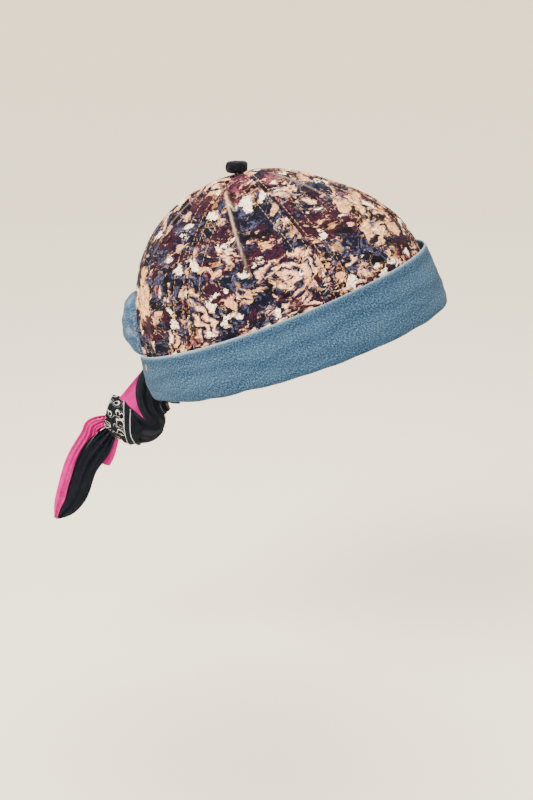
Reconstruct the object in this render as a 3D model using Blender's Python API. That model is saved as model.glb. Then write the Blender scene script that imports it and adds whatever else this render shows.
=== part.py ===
"""A docker hat: six printed panels over a turned-up denim cuff, tied behind with a bandana.

The hat is drawn upright about the centre of its head opening and tipped back as it is worn.
+X is the wearer's front, +Y the wearer's left, +Z up. The knot and its tails hang plumb.
All lengths are metres.
"""
import math
from collections import namedtuple

import bmesh
import bpy
import numpy as np
from mathutils import Matrix, Vector

# How the hat sits
WORN_TILT = math.radians(18.9)

# Crown, measured outside the cloth
CROWN_LENGTH = 0.1984
CROWN_WIDTH = 0.1670
CROWN_HEIGHT = 0.1187
CROWN_WALL = 0.0015
APEX_FORWARD = 0.0016

# Clearances
SEAM_GAP = 0.0003
SEAT_GAP = 0.00045
ARCH_GAP = 0.0012
SHANK_CLEARANCE = 0.0012

# Relief of the crown
TOPSTITCH_NEAR = 0.0022
TOPSTITCH_FAR = 0.0095
SEAM_DIP = 0.0006
TUCK_HALF_WIDTH = 0.0034
TUCK_RISE = 0.0021
FOLD_RISE = 0.0012

# Cuff: its foot stands out from the crown's hem, and its face leans in towards the top edge
CUFF_STAND_ENDS = 0.0046
CUFF_STAND_SIDES = 0.0025
CUFF_LEAN_ENDS = 0.0035
CUFF_LEAN_SIDES = 0.0018
CUFF_HEIGHT_FRONT = 0.0403
CUFF_HEIGHT_BACK = 0.0297
CUFF_PLY = 0.0018
CUFF_FOLD_RADIUS = 0.0032
CUFF_PUFF = 0.0007
CUFF_OPENING_MARGIN = 0.0020
CUFF_CORNER = 0.0120
INNER_PLY = 0.0012
INNER_PLY_HEIGHT = 0.0120

# Arched insert at the back
ARCH_WIDTH = 0.0560
ARCH_TOP = 0.0690
ARCH_SHOULDER = 0.0380
INSERT_HEM = 0.0275
INSERT_WALL = 0.0015
INSERT_PUFF = 0.0122
INSERT_GATHER = 0.0009

# Button
BUTTON_DIAMETER = 0.0140
BUTTON_HEIGHT = 0.0086
SHANK_DIAMETER = 0.0060
SHANK_DEPTH = 0.0034

# Bandana tie
BAND_WIDTH = 0.0300
BAND_PLY = 0.0016
BAND_PLEAT = 0.0011
BAND_SEWN = 0.0240
BAND_BULGE = 0.0045
KNOT_BEHIND = 0.0118
KNOT_BELOW = 0.0223
KNOT_LENGTH = 0.0400
KNOT_DEPTH = 0.0280
KNOT_HEIGHT = 0.0310
KNOT_LEAN = math.radians(16.0)
KNOT_WRAP = 0.0026
WRAP_SLANT = 78.0
TAIL_LENGTH = 0.0930
TAIL_WIDTH = 0.0180
TAIL_PLY = 0.0014

# How far out and how far up the crown's cloth runs, seen at the front, side and back.
# Out is a share of half the crown's length or width, and up is a share of its height.
Ring = namedtuple("Ring", "angle front_out side_out back_out front_up side_up back_up")
CROWN_RINGS = (
    Ring(0.0, 1.000, 1.000, 0.995, 0.000, 0.000, 0.000),
    Ring(18.0, 0.974, 0.985, 0.972, 0.265, 0.225, 0.264),
    Ring(36.0, 0.873, 0.877, 0.904, 0.530, 0.448, 0.549),
    Ring(54.0, 0.642, 0.686, 0.703, 0.738, 0.665, 0.808),
    Ring(72.0, 0.351, 0.400, 0.375, 0.903, 0.865, 0.964),
    Ring(90.0, 0.000, 0.000, 0.000, 1.000, 1.000, 1.000),
)

# Six panels between seams; rise is how far the tuck in the middle stands up, of TUCK_RISE.
Panel = namedtuple("Panel", "name first last tuck rise low high")
PANELS = (
    Panel("crown_panel_back_right", -180.0, -120.0, -149.0, 0.33, 50.0, 80.0),
    Panel("crown_panel_side_right", -120.0, -60.0, -92.0, 1.00, 46.0, 82.0),
    Panel("crown_panel_front_right", -60.0, 0.0, -27.0, 0.38, 52.0, 80.0),
    Panel("crown_panel_front_left", 0.0, 60.0, 30.0, 0.38, 52.0, 80.0),
    Panel("crown_panel_side_left", 60.0, 120.0, 90.0, 0.67, 48.0, 81.0),
    Panel("crown_panel_back_left", 120.0, 180.0, 149.0, 0.33, 50.0, 80.0),
)

# Soft upright folds of the cloth above the cuff; rise is a share of FOLD_RISE.
Fold = namedtuple("Fold", "azimuth spread rise middle reach")
CROWN_FOLDS = (
    Fold(-152.0, 5.0, 1.00, 20.0, 24.0),
    Fold(-139.0, 4.5, 0.83, 22.0, 22.0),
    Fold(-104.0, 6.0, 0.50, 16.0, 16.0),
    Fold(104.0, 6.0, 0.50, 16.0, 16.0),
    Fold(139.0, 4.5, 0.83, 22.0, 22.0),
    Fold(152.0, 5.0, 1.00, 20.0, 24.0),
)

# The insert's swell from its hem to the top of the arch, as shares of its height and of its puff.
Swell = namedtuple("Swell", "rise puff")
INSERT_SWELLS = (
    Swell(0.00, 0.06),
    Swell(0.10, 0.50),
    Swell(0.20, 0.77),
    Swell(0.32, 0.97),
    Swell(0.48, 1.02),
    Swell(0.62, 0.90),
    Swell(0.71, 0.74),
    Swell(0.80, 0.82),
    Swell(0.89, 0.52),
    Swell(0.96, 0.16),
    Swell(1.00, 0.03),
)

# Each tail from its mouth in the knot to its tip: down and back are shares of TAIL_LENGTH, width of
# TAIL_WIDTH, and turn is how far the strip faces round, in degrees.
Step = namedtuple("Step", "down back width turn")
BLACK_TAIL = (
    Step(0.000, 0.000, 0.62, 4.0),
    Step(0.090, 0.070, 0.94, 8.0),
    Step(0.259, 0.180, 0.90, 12.0),
    Step(0.383, 0.226, 0.86, 14.0),
    Step(0.482, 0.261, 0.84, 14.0),
    Step(0.575, 0.307, 0.68, 12.0),
    Step(0.650, 0.372, 0.44, 8.0),
    Step(0.695, 0.421, 0.12, 4.0),
)
PINK_TAIL = (
    Step(0.000, 0.000, 0.60, -8.0),
    Step(0.085, 0.082, 0.78, -10.0),
    Step(0.218, 0.151, 0.86, -12.0),
    Step(0.320, 0.210, 0.86, -12.0),
    Step(0.486, 0.275, 0.82, -10.0),
    Step(0.610, 0.319, 0.72, -6.0),
    Step(0.718, 0.359, 0.54, -4.0),
    Step(0.795, 0.394, 0.18, -2.0),
)
SHORT_TAIL = (
    Step(0.000, 0.000, 0.58, 6.0),
    Step(0.100, 0.040, 0.74, 8.0),
    Step(0.200, 0.080, 0.80, 8.0),
    Step(0.270, 0.100, 0.66, 6.0),
)

# Where the tie's ends meet the knot, as shares of half the knot's length, depth and height.
Mouth = namedtuple("Mouth", "along depth up")
BAND_RIGHT_MOUTH = Mouth(1.00, -1.00, 0.86)
BAND_LEFT_MOUTH = Mouth(-0.05, -0.97, 0.72)
BLACK_TAIL_MOUTH = Mouth(-0.750, -0.43, -0.950)
PINK_TAIL_MOUTH = Mouth(-1.143, 0.00, -0.660)
SHORT_TAIL_MOUTH = Mouth(-0.740, 0.36, -1.075)


def material(name, colour, roughness, sheen=0.0):
    """A plain cloth material."""
    made = bpy.data.materials.new(name)
    made.use_nodes = True
    shader = made.node_tree.nodes["Principled BSDF"]
    shader.inputs["Base Color"].default_value = (*colour, 1.0)
    shader.inputs["Roughness"].default_value = roughness
    shader.inputs["Metallic"].default_value = 0.0
    shader.inputs["Sheen Weight"].default_value = sheen
    made.diffuse_color = (*colour, 1.0)
    return made


def smooth_curve(places, values):
    """A natural cubic spline through values at rising places."""
    x = np.array(places, float)
    y = np.array(values, float)
    step = np.diff(x)
    count = len(x)
    system = np.eye(count)
    slope_change = np.zeros(count)
    for i in range(1, count - 1):
        system[i, i - 1] = step[i - 1]
        system[i, i] = 2 * (step[i - 1] + step[i])
        system[i, i + 1] = step[i]
        slope_change[i] = 6 * ((y[i + 1] - y[i]) / step[i] - (y[i] - y[i - 1]) / step[i - 1])
    bend = np.linalg.solve(system, slope_change)

    def at(place):
        i = min(max(int(np.searchsorted(x, place)) - 1, 0), count - 2)
        before = place - x[i]
        after = x[i + 1] - place
        curve = (bend[i] * after ** 3 + bend[i + 1] * before ** 3) / (6 * step[i])
        left = (y[i] / step[i] - bend[i] * step[i] / 6) * after
        right = (y[i + 1] / step[i] - bend[i + 1] * step[i] / 6) * before
        return curve + left + right

    return at


def ring_curve(column, mirror):
    """One column of the crown's table, carried over the apex so that the top stays round."""
    places = [ring.angle for ring in CROWN_RINGS]
    values = [getattr(ring, column) for ring in CROWN_RINGS]
    places += [180.0 - place for place in places[-2::-1]]
    values += [mirror * value for value in values[-2::-1]]
    return smooth_curve(places, values)


CROWN_CURVES = {
    column: ring_curve(column, -1.0 if column.endswith("out") else 1.0)
    for column in Ring._fields[1:]
}


def crown_point(azimuth, angle):
    """A point of the crown's outer face; both turns are in degrees."""
    turn = math.radians(azimuth)
    end = "front" if math.cos(turn) > 0 else "back"
    lengthwise = math.cos(turn) ** 2
    out = CROWN_CURVES[end + "_out"](angle) * CROWN_LENGTH / 2
    side = CROWN_CURVES["side_out"](angle) * CROWN_WIDTH / 2
    up = lengthwise * CROWN_CURVES[end + "_up"](angle) + (1 - lengthwise) * CROWN_CURVES["side_up"](angle)
    forward = APEX_FORWARD * math.sin(math.radians(angle)) ** 3
    return Vector((out * math.cos(turn) + forward, side * math.sin(turn), up * CROWN_HEIGHT))


def crown_skin(azimuth, angle, lift):
    """A point lifted off the crown's outer face along its normal."""
    nudge = 0.2
    around = crown_point(azimuth + nudge, angle) - crown_point(azimuth - nudge, angle)
    upward = crown_point(azimuth, angle + nudge) - crown_point(azimuth, angle - nudge)
    return crown_point(azimuth, angle) + around.cross(upward).normalized() * lift


def crown_angle(azimuth, height):
    """The table angle at which the crown reaches a height."""
    low, high = 0.0, 90.0
    for _ in range(30):
        middle = (low + high) / 2
        if crown_point(azimuth, middle).z < height:
            low = middle
        else:
            high = middle
    return (low + high) / 2


def arc_per_degree(azimuth, angle):
    """Length of cloth for one degree of azimuth."""
    return (crown_point(azimuth + 0.5, angle) - crown_point(azimuth - 0.5, angle)).length


def bump(distance, reach):
    """A round hump of height 1 that ends at reach."""
    if abs(distance) >= reach:
        return 0.0
    return math.cos(math.pi * distance / reach / 2) ** 2


def cuff_foot():
    """Half the length and half the width of the cuff's foot."""
    return CROWN_LENGTH / 2 + CUFF_STAND_ENDS, CROWN_WIDTH / 2 + CUFF_STAND_SIDES


def cuff_end_azimuth():
    """Azimuth of the cuff's ends, either side of the opening below the arch."""
    half_opening = ARCH_WIDTH / 2 + CUFF_OPENING_MARGIN
    return 180.0 - math.degrees(math.asin(half_opening / cuff_foot()[1]))


def corner_lift(azimuth, early=0.0):
    """How far the cuff's rounded lower corner has risen at an azimuth, or a little before it."""
    end = cuff_end_azimuth()
    distance = (end - abs(azimuth)) * arc_per_degree(end, 0.0) - early
    if distance >= CUFF_CORNER:
        return 0.0
    inset = CUFF_CORNER - max(distance, 0.0)
    return CUFF_CORNER - math.sqrt(CUFF_CORNER ** 2 - inset ** 2)


def arch_half_width(height):
    """Half the arch's width at a height above the rim."""
    above = max(height - ARCH_SHOULDER, 0.0) / (ARCH_TOP - ARCH_SHOULDER)
    return ARCH_WIDTH / 2 * math.sqrt(max(1.0 - above ** 2, 0.0))


def solid(name, vertices, faces, finish, parent=None):
    """A closed mesh object with its faces pointing out."""
    mesh = bpy.data.meshes.new(name)
    shape = bmesh.new()
    corners = [shape.verts.new(vertex) for vertex in vertices]
    for face in faces:
        shape.faces.new([corners[i] for i in face])
    bmesh.ops.recalc_face_normals(shape, faces=shape.faces)
    shape.to_mesh(mesh)
    shape.free()
    mesh.materials.append(finish)
    made = bpy.data.objects.new(name, mesh)
    bpy.context.collection.objects.link(made)
    made.parent = parent
    mesh.shade_smooth()
    mesh.set_sharp_from_angle(angle=math.radians(40))
    return made


def walled_sheet(name, outer, inner, finish, parent=None):
    """A cloth wall between two matching grids of points, closed round its edge."""
    rows, columns = len(outer), len(outer[0])
    vertices = [point for row in outer for point in row] + [point for row in inner for point in row]
    back = rows * columns
    faces = []
    for i in range(rows - 1):
        for j in range(columns - 1):
            a, b = i * columns + j, i * columns + j + 1
            c, d = b + columns, a + columns
            faces.append((a, b, c, d))
            faces.append((back + d, back + c, back + b, back + a))
    edge = [j for j in range(columns)]
    edge += [i * columns + columns - 1 for i in range(1, rows)]
    edge += [(rows - 1) * columns + j for j in range(columns - 2, -1, -1)]
    edge += [i * columns for i in range(rows - 2, 0, -1)]
    for here, after in zip(edge, edge[1:] + edge[:1]):
        faces.append((after, here, back + here, back + after))
    return solid(name, vertices, faces, finish, parent)


def closed_sweep(name, sections, finish, parent=None):
    """A solid through a run of closed sections, capped at both ends."""
    count = len(sections[0])
    vertices = [point for section in sections for point in section]
    faces = []
    for i in range(len(sections) - 1):
        for j in range(count):
            k = (j + 1) % count
            faces.append((i * count + j, i * count + k, (i + 1) * count + k, (i + 1) * count + j))
    faces.append(tuple(range(count)))
    faces.append(tuple((len(sections) - 1) * count + j for j in range(count - 1, -1, -1)))
    return solid(name, vertices, faces, finish, parent)


# Crown panels


def panel_relief(panel, azimuth, angle):
    """Rise of the printed cloth off the plain crown: seams dip, the tuck and the folds stand up."""
    spread = arc_per_degree(azimuth, angle)
    from_seam = min(abs(azimuth - panel.first), abs(azimuth - panel.last)) * spread
    rise = -SEAM_DIP * bump(from_seam, TOPSTITCH_FAR)
    if panel.low < angle < panel.high:
        along = (angle - panel.low) / (panel.high - panel.low)
        crest = panel.rise * TUCK_RISE * min(2.2 * along, 1.0)
        rise += crest * bump((azimuth - panel.tuck) * spread, TUCK_HALF_WIDTH)
    for fold in CROWN_FOLDS:
        hump = bump(azimuth - fold.azimuth, fold.spread) * bump(angle - fold.middle, fold.reach)
        rise += fold.rise * FOLD_RISE * hump
    return rise


def panel_columns(panel, angle):
    """Azimuths of one row of points, close together beside the seams and the tuck."""
    spread = arc_per_degree((panel.first + panel.last) / 2, angle)
    row = []
    for seam, sign in ((panel.first, 1.0), (panel.last, -1.0)):
        reach = abs(panel.tuck - seam) * spread
        near = min(TOPSTITCH_NEAR, 0.16 * reach)
        far = min(TOPSTITCH_FAR, 0.34 * reach)
        crest = min(TUCK_HALF_WIDTH, 0.24 * reach)
        plain = reach - crest - far
        offsets = [SEAM_GAP / 2, near, far, far + plain / 3, far + plain * 2 / 3]
        offsets += [reach - crest, reach - crest / 2]
        half = [seam + sign * offset / spread for offset in offsets]
        row += half + [panel.tuck] if sign > 0 else half[::-1]
    return row


def arch_edge_azimuth(angle):
    """Azimuth of the arch's edge at a table angle, on the left side of the hat."""
    half = arch_half_width(crown_point(180.0, angle).z)
    across = CROWN_CURVES["side_out"](angle) * CROWN_WIDTH / 2
    return 180.0 - math.degrees(math.asin(min(half / across, 1.0)))


def tip_angle():
    """Table angle of the panels' tips, round the hole under the button."""
    hole = SHANK_DIAMETER / 2 + SHANK_CLEARANCE
    low, high = 45.0, 90.0
    for _ in range(30):
        middle = (low + high) / 2
        if crown_point(90.0, middle).y > hole:
            low = middle
        else:
            high = middle
    return (low + high) / 2


def panel_angles(share, azimuth):
    """Table angle at a share of the way from the hem to the tip; share 0.5 is the top of the arch."""
    hem = crown_angle(azimuth, corner_lift(azimuth, 3 * SEAT_GAP) + CUFF_PLY + SEAT_GAP)
    top = crown_angle(180.0, ARCH_TOP)
    tip = tip_angle()
    if share <= 0.5:
        return hem + (top - hem) * share * 2
    return top + (tip - top) * (share - 0.5) * 2


def crown_panel(panel, finish, parent):
    """One printed panel, cut by the arch where it is a back one."""
    lower = (0.0, 0.12, 0.22, 0.28, 0.34, 0.40, 0.45, 0.485, 0.5)
    upper = (0.58, 0.67, 0.76, 0.84, 0.91, 0.965, 1.0)
    outer, inner = [], []
    for share in lower + upper:
        middle = (panel.first + panel.last) / 2
        angle = panel_angles(share, middle)
        row = panel_columns(panel, angle)
        if abs(panel.first) == 180.0 or panel.last == 180.0:
            limit = arch_edge_azimuth(panel_angles(share, arch_edge_azimuth(angle)))
            outermost = max(abs(azimuth) for azimuth in row)
            start = min(abs(azimuth) for azimuth in row)
            squeeze = (min(limit, outermost) - start) / (outermost - start)
            row = [math.copysign(start + (abs(azimuth) - start) * squeeze, azimuth) for azimuth in row]
        faces_out, faces_in = [], []
        for azimuth in row:
            here = panel_angles(share, azimuth)
            faces_out.append(crown_skin(azimuth, here, panel_relief(panel, azimuth, here)))
            faces_in.append(crown_skin(azimuth, here, -CROWN_WALL))
        outer.append(faces_out)
        inner.append(faces_in)
    return walled_sheet(panel.name, outer, inner, finish, parent)


# Arched insert


def back_insert(finish, parent):
    """Gathered denim that swells out of the arch at the back and is hemmed above the tie."""
    columns, rows = 20, 12
    half = ARCH_WIDTH / 2 - ARCH_GAP
    rises = [swell.rise for swell in INSERT_SWELLS]
    puff_curve = smooth_curve(rises, [swell.puff for swell in INSERT_SWELLS])

    def surface(i, j, inward):
        across = math.sin(math.pi / 2 * (2 * j / columns - 1))
        top = ARCH_SHOULDER + (ARCH_TOP - ARCH_GAP - ARCH_SHOULDER) * math.sqrt(max(1 - across ** 2, 0.0))
        share = i / rows
        height = INSERT_HEM + (top - INSERT_HEM) * share
        angle = crown_angle(180.0, height)
        side = CROWN_CURVES["side_out"](angle) * CROWN_WIDTH / 2
        azimuth = 180.0 - math.degrees(math.asin(across * half / side))
        swell = INSERT_PUFF * puff_curve(share) * (1 - abs(across) ** 2.4) ** 0.6
        gather = INSERT_GATHER * math.cos(5 * math.pi * across) * (1 - across ** 2) * (1 - share)
        return crown_skin(azimuth, angle, swell + gather - inward)

    outer = [[surface(i, j, 0.0) for j in range(columns + 1)] for i in range(rows + 1)]
    inner = offset_grid(outer, INSERT_WALL, Vector((1.0, 0.0, 0.0)))
    return walled_sheet("back_insert", outer, inner, finish, parent)


def offset_grid(grid, depth, towards):
    """A second grid, depth away from the first on the side that towards points to."""
    rows, columns = len(grid), len(grid[0])
    moved = []
    for i in range(rows):
        line = []
        for j in range(columns):
            along = grid[i][min(j + 1, columns - 1)] - grid[i][max(j - 1, 0)]
            up = grid[min(i + 1, rows - 1)][j] - grid[max(i - 1, 0)][j]
            normal = along.cross(up).normalized()
            if normal.dot(towards) < 0:
                normal = -normal
            line.append(grid[i][j] + normal * depth)
        moved.append(line)
    return moved


# Cuff


def cuff_height(azimuth):
    """Height of the cuff's top edge above the rim."""
    middle = (CUFF_HEIGHT_FRONT + CUFF_HEIGHT_BACK) / 2
    return middle + (CUFF_HEIGHT_FRONT - CUFF_HEIGHT_BACK) / 2 * math.cos(math.radians(azimuth))


def cuff_face(azimuth, height, inset):
    """A point of the cuff's outer ply, inset from its outer face."""
    turn = math.radians(azimuth)
    share = height / cuff_height(azimuth)
    puff = CUFF_PUFF * math.sin(math.pi * min(max(share, 0.0), 1.0))
    half_length, half_width = cuff_foot()
    along = half_length - CUFF_LEAN_ENDS * share + puff - inset
    across = half_width - CUFF_LEAN_SIDES * share + puff - inset
    return Vector((along * math.cos(turn), across * math.sin(turn), height))


def cuff_section(azimuth):
    """The cuff's closed section: outer ply, rounded fold, and the short ply inside the crown."""
    lift = corner_lift(azimuth)
    top = cuff_height(azimuth)
    fold = CUFF_FOLD_RADIUS
    floor = lift + CUFF_PLY
    points = [cuff_face(azimuth, top - CUFF_PLY / 2, 0.0)]
    for share in (0.7, 0.4, 0.12):
        points.append(cuff_face(azimuth, lift + fold + (top - lift - fold) * share, 0.0))
    for turn in (0.0, 30.0, 60.0, 90.0):
        bend = math.radians(turn)
        points.append(cuff_face(azimuth, lift + fold * (1 - math.sin(bend)), fold * (1 - math.cos(bend))))
    hidden = CROWN_WALL + SEAT_GAP

    def lining(height, depth):
        return crown_skin(azimuth, crown_angle(azimuth, height), -depth)

    inside = hidden + INNER_PLY
    bottom = lining(max(lift, 0.0002), inside - INNER_PLY / 2)
    points.append(Vector((bottom.x, bottom.y, lift)))
    points.append(lining(lift + INNER_PLY / 2, inside))
    points.append(lining(lift + INNER_PLY_HEIGHT - INNER_PLY / 2, inside))
    points.append(lining(lift + INNER_PLY_HEIGHT, inside - INNER_PLY / 2))
    points.append(lining(lift + INNER_PLY_HEIGHT - INNER_PLY / 2, hidden))
    points.append(lining(floor, hidden))
    points.append(cuff_face(azimuth, floor, CUFF_PLY))
    points.append(cuff_face(azimuth, (floor + top) / 2, CUFF_PLY))
    points.append(cuff_face(azimuth, top - CUFF_PLY / 2, CUFF_PLY))
    points.append(cuff_face(azimuth, top, CUFF_PLY / 2))
    return points


def cuff_stations():
    """Azimuths of the cuff's sections, close together round its two lower corners."""
    end = cuff_end_azimuth()
    spread = arc_per_degree(end, 0.0)
    corner = [end - CUFF_CORNER * (1 - math.cos(math.pi / 12 * k)) / spread for k in range(7)]
    plain = [corner[-1] * share / 20 for share in range(-19, 20)]
    return [-azimuth for azimuth in corner] + plain + corner[::-1]


def cuff(finish, parent):
    """The turned-up denim cuff, open at the back."""
    sections = [cuff_section(azimuth) for azimuth in cuff_stations()]
    return closed_sweep("cuff", sections, finish, parent)


# Button


def button(finish, parent):
    """A covered button on the apex; its shank passes between the panels' tips."""
    radius = BUTTON_DIAMETER / 2
    shank = SHANK_DIAMETER / 2
    profile = (
        (shank, -SHANK_DEPTH),
        (shank, SEAM_GAP),
        (radius * 0.80, SEAM_GAP),
        (radius * 0.97, BUTTON_HEIGHT * 0.22),
        (radius, BUTTON_HEIGHT * 0.50),
        (radius * 0.93, BUTTON_HEIGHT * 0.78),
        (radius * 0.70, BUTTON_HEIGHT * 0.94),
        (radius * 0.35, BUTTON_HEIGHT),
    )
    sides = 16
    vertices = []
    for out, up in profile:
        for k in range(sides):
            turn = 2 * math.pi * k / sides
            vertices.append(Vector((out * math.cos(turn), out * math.sin(turn), up)))
    faces = [tuple(range(sides - 1, -1, -1)), tuple((len(profile) - 1) * sides + k for k in range(sides))]
    for i in range(len(profile) - 1):
        for k in range(sides):
            after = (k + 1) % sides
            faces.append((i * sides + k, i * sides + after, (i + 1) * sides + after, (i + 1) * sides + k))
    made = solid("button", vertices, faces, finish, parent)
    tips = [crown_point(azimuth, tip_angle()) for azimuth in (0.0, 90.0, 180.0)]
    made.location = (APEX_FORWARD, 0.0, max(tip.z for tip in tips))
    return made


# Bandana tie


def worn(point):
    """A point of the upright hat where it lies in the worn hat."""
    return Matrix.Rotation(-WORN_TILT, 4, "Y") @ Vector(point)


def knot_centre():
    """The knot hangs behind and below the back of the cuff."""
    back = worn((-cuff_foot()[0], 0.0, 0.0))
    return back + Vector((-KNOT_BEHIND, 0.0, -KNOT_BELOW))


def knot_place(along, depth, up):
    """A place in the knot's own leaning axes, as shares of half its sizes."""
    lean = Matrix.Rotation(KNOT_LEAN, 4, "Y")
    offset = Vector((along * KNOT_LENGTH / 2, depth * KNOT_DEPTH / 2, up * KNOT_HEIGHT / 2))
    return knot_centre() + lean @ offset


def bezier(start, leave, arrive, end, share):
    """A point of a cubic curve."""
    rest = 1 - share
    ends = start * rest ** 3 + end * share ** 3
    return ends + leave * 3 * rest ** 2 * share + arrive * 3 * rest * share ** 2


def ribbon(name, centres, crosses, widths, ply, pleat, waves, finish):
    """A cloth strip: a flat section with shallow pleats, swept along its centres."""
    across = 3 * waves
    sections = []
    for i, centre in enumerate(centres):
        ahead = centres[min(i + 1, len(centres) - 1)] - centres[max(i - 1, 0)]
        cross = (crosses[i] - ahead.normalized() * crosses[i].dot(ahead.normalized())).normalized()
        normal = ahead.normalized().cross(cross)
        front, back = [], []
        for j in range(across + 1):
            place = 2 * j / across - 1
            wave = pleat * math.cos(waves * math.pi * place)
            half = ply / 2 * math.sqrt(max(1 - place ** 8, 0.12))
            middle = centre + cross * place * widths[i] / 2 + normal * wave
            front.append(middle + normal * half)
            back.append(middle - normal * half)
        sections.append(front + back[::-1])
    return closed_sweep(name, sections, finish)


def tie_band(name, side, mouth, mouth_cross, approach, bulge, end_width, finish):
    """A bandana end, sewn inside the cuff, that gathers into the knot; side is -1 on the right.

    It reaches its mouth from approach, and bulge is how far it swings out behind on the way.
    """
    entry = knot_place(*mouth)
    depth = CROWN_WALL + SEAT_GAP + INNER_PLY + 2 * SEAM_GAP + BAND_PLEAT + BAND_PLY / 2
    end = cuff_end_azimuth()
    height = CUFF_HEIGHT_BACK / 2 - BAND_WIDTH / 5
    sewn = BAND_SEWN / arc_per_degree(end, 0.0)
    inside = [end - sewn + sewn * share for share in (0.0, 0.34, 0.67, 1.0)]
    centres = [worn(crown_skin(side * azimuth, crown_angle(azimuth, height), -depth)) for azimuth in inside]
    start = centres[-1]
    heading = (centres[-1] - centres[-2]).normalized()
    span = (entry - start).length
    wall_angle = crown_angle(side * end, height)
    rise = crown_point(side * end, wall_angle + 2) - crown_point(side * end, wall_angle - 2)
    upright = worn(rise).normalized()
    crosses = [upright] * len(centres)
    widths = [BAND_WIDTH * share for share in (0.86, 0.92, 0.97, 1.0)]
    billow = Vector((-bulge, 0.0, 0.0))
    leave = start + heading * span * 0.35 + billow
    arrive = entry + approach * span * 0.35 + billow
    for share in (0.12, 0.25, 0.38, 0.52, 0.66, 0.80, 0.91, 1.0):
        centres.append(bezier(start, leave, arrive, entry, share))
        crosses.append(upright.lerp(mouth_cross, share ** 1.3))
        widths.append(BAND_WIDTH + (end_width - BAND_WIDTH) * share)
    return ribbon(name, centres, crosses, widths, BAND_PLY, BAND_PLEAT, 3, finish)


def knot_core(finish):
    """The body of the knot: a leaning lump, fuller at its lower front end."""
    rings, sides = 11, 16
    vertices = [knot_place(-1.0, 0.0, 0.0)]
    for i in range(1, rings):
        turn = math.pi * i / rings
        along = -math.cos(turn)
        girth = math.sin(turn) ** 0.8 * (1 + 0.06 * along)
        for k in range(sides):
            roll = 2 * math.pi * k / sides
            vertices.append(knot_place(along, girth * math.cos(roll), girth * math.sin(roll)))
    vertices.append(knot_place(1.0, 0.0, 0.0))
    last = len(vertices) - 1
    faces = []
    for k in range(sides):
        after = (k + 1) % sides
        faces.append((0, 1 + after, 1 + k))
        faces.append((last, last - sides + k, last - sides + after))
        for i in range(rings - 2):
            a = 1 + i * sides
            faces.append((a + k, a + after, a + sides + after, a + sides + k))
    return solid("tie_knot", vertices, faces, finish)


def knot_wrap(finish):
    """The turn of cloth that passes over the knot and under it."""
    rows, columns = 16, 8
    clear = 2 * SEAM_GAP
    outer, inner = [], []
    for i in range(rows + 1):
        out_line, in_line = [], []
        for j in range(columns + 1):
            first = -262.0 + WRAP_SLANT * j / columns
            roll = math.radians(first + (-12.0 - first) * i / rows)
            along = -0.93 + 1.28 * j / columns
            girth = (1 - along ** 2) ** 0.24 * (1 + 0.06 * along)
            swell = KNOT_WRAP * (0.55 + 0.45 * math.sin(math.pi * j / columns))
            for line, extra in ((out_line, clear + swell), (in_line, clear)):
                depth = (girth + extra / (KNOT_DEPTH / 2)) * math.cos(roll)
                up = (girth + extra / (KNOT_HEIGHT / 2)) * math.sin(roll)
                line.append(knot_place(along * (1 + extra / KNOT_LENGTH), depth, up))
        outer.append(out_line)
        inner.append(in_line)
    return walled_sheet("tie_knot_wrap", outer, inner, finish)


def tail(name, steps, mouth, drift, finish):
    """A free end of the tie, hanging from its mouth in the knot; drift is how far it goes sideways."""
    start = knot_place(*mouth)
    count = 12
    downs = [step.down for step in steps]
    back = smooth_curve(downs, [step.back for step in steps])
    width = smooth_curve(downs, [step.width for step in steps])
    face = smooth_curve(downs, [step.turn for step in steps])
    centres, crosses, widths = [], [], []
    for i in range(count + 1):
        share = i / count
        down = downs[-1] * share
        centres.append(start + Vector((-back(down), drift * share, -down)) * TAIL_LENGTH)
        turn = math.radians(face(down))
        crosses.append(Vector((math.cos(turn), math.sin(turn), -0.45)))
        widths.append(max(width(down), 0.1) * TAIL_WIDTH)
    return ribbon(name, centres, crosses, widths, TAIL_PLY, TAIL_PLY * 0.4, 2, finish)


def build():
    """The whole hat."""
    for old in list(bpy.data.objects):
        bpy.data.objects.remove(old, do_unlink=True)
    print_cloth = material("printed_cotton", (0.20, 0.12, 0.17), 0.85, 0.2)
    denim = material("light_denim", (0.16, 0.30, 0.43), 0.88, 0.2)
    velvet = material("dark_velvet", (0.01, 0.012, 0.02), 0.75, 0.5)
    black_bandana = material("black_bandana", (0.008, 0.010, 0.018), 0.8, 0.1)
    pink_bandana = material("pink_bandana", (0.80, 0.07, 0.26), 0.8, 0.1)
    tilt = bpy.data.objects.new("worn_tilt", None)
    bpy.context.collection.objects.link(tilt)
    tilt.rotation_euler = (0.0, -WORN_TILT, 0.0)
    for panel in PANELS:
        crown_panel(panel, print_cloth, tilt)
    back_insert(denim, tilt)
    cuff(denim, tilt)
    button(velvet, tilt)
    knot_core(black_bandana)
    knot_wrap(black_bandana)
    right_cross = Vector((-0.85, -0.35, -0.38))
    left_cross = Vector((-0.65, 0.24, 0.72))
    right_approach = Vector((-0.30, -0.45, 0.85))
    left_approach = Vector((0.35, 0.60, 0.70))
    tie_band(
        "tie_band_right", -1, BAND_RIGHT_MOUTH, right_cross, right_approach, BAND_BULGE,
        BAND_WIDTH * 0.66, black_bandana)
    tie_band(
        "tie_band_left", 1, BAND_LEFT_MOUTH, left_cross, left_approach, -BAND_BULGE,
        BAND_WIDTH * 0.90, pink_bandana)
    tail("tie_tail_black", BLACK_TAIL, BLACK_TAIL_MOUTH, -0.016, black_bandana)
    tail("tie_tail_pink", PINK_TAIL, PINK_TAIL_MOUTH, -0.021, pink_bandana)
    tail("tie_tail_short", SHORT_TAIL, SHORT_TAIL_MOUTH, 0.011, pink_bandana)


build()
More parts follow.
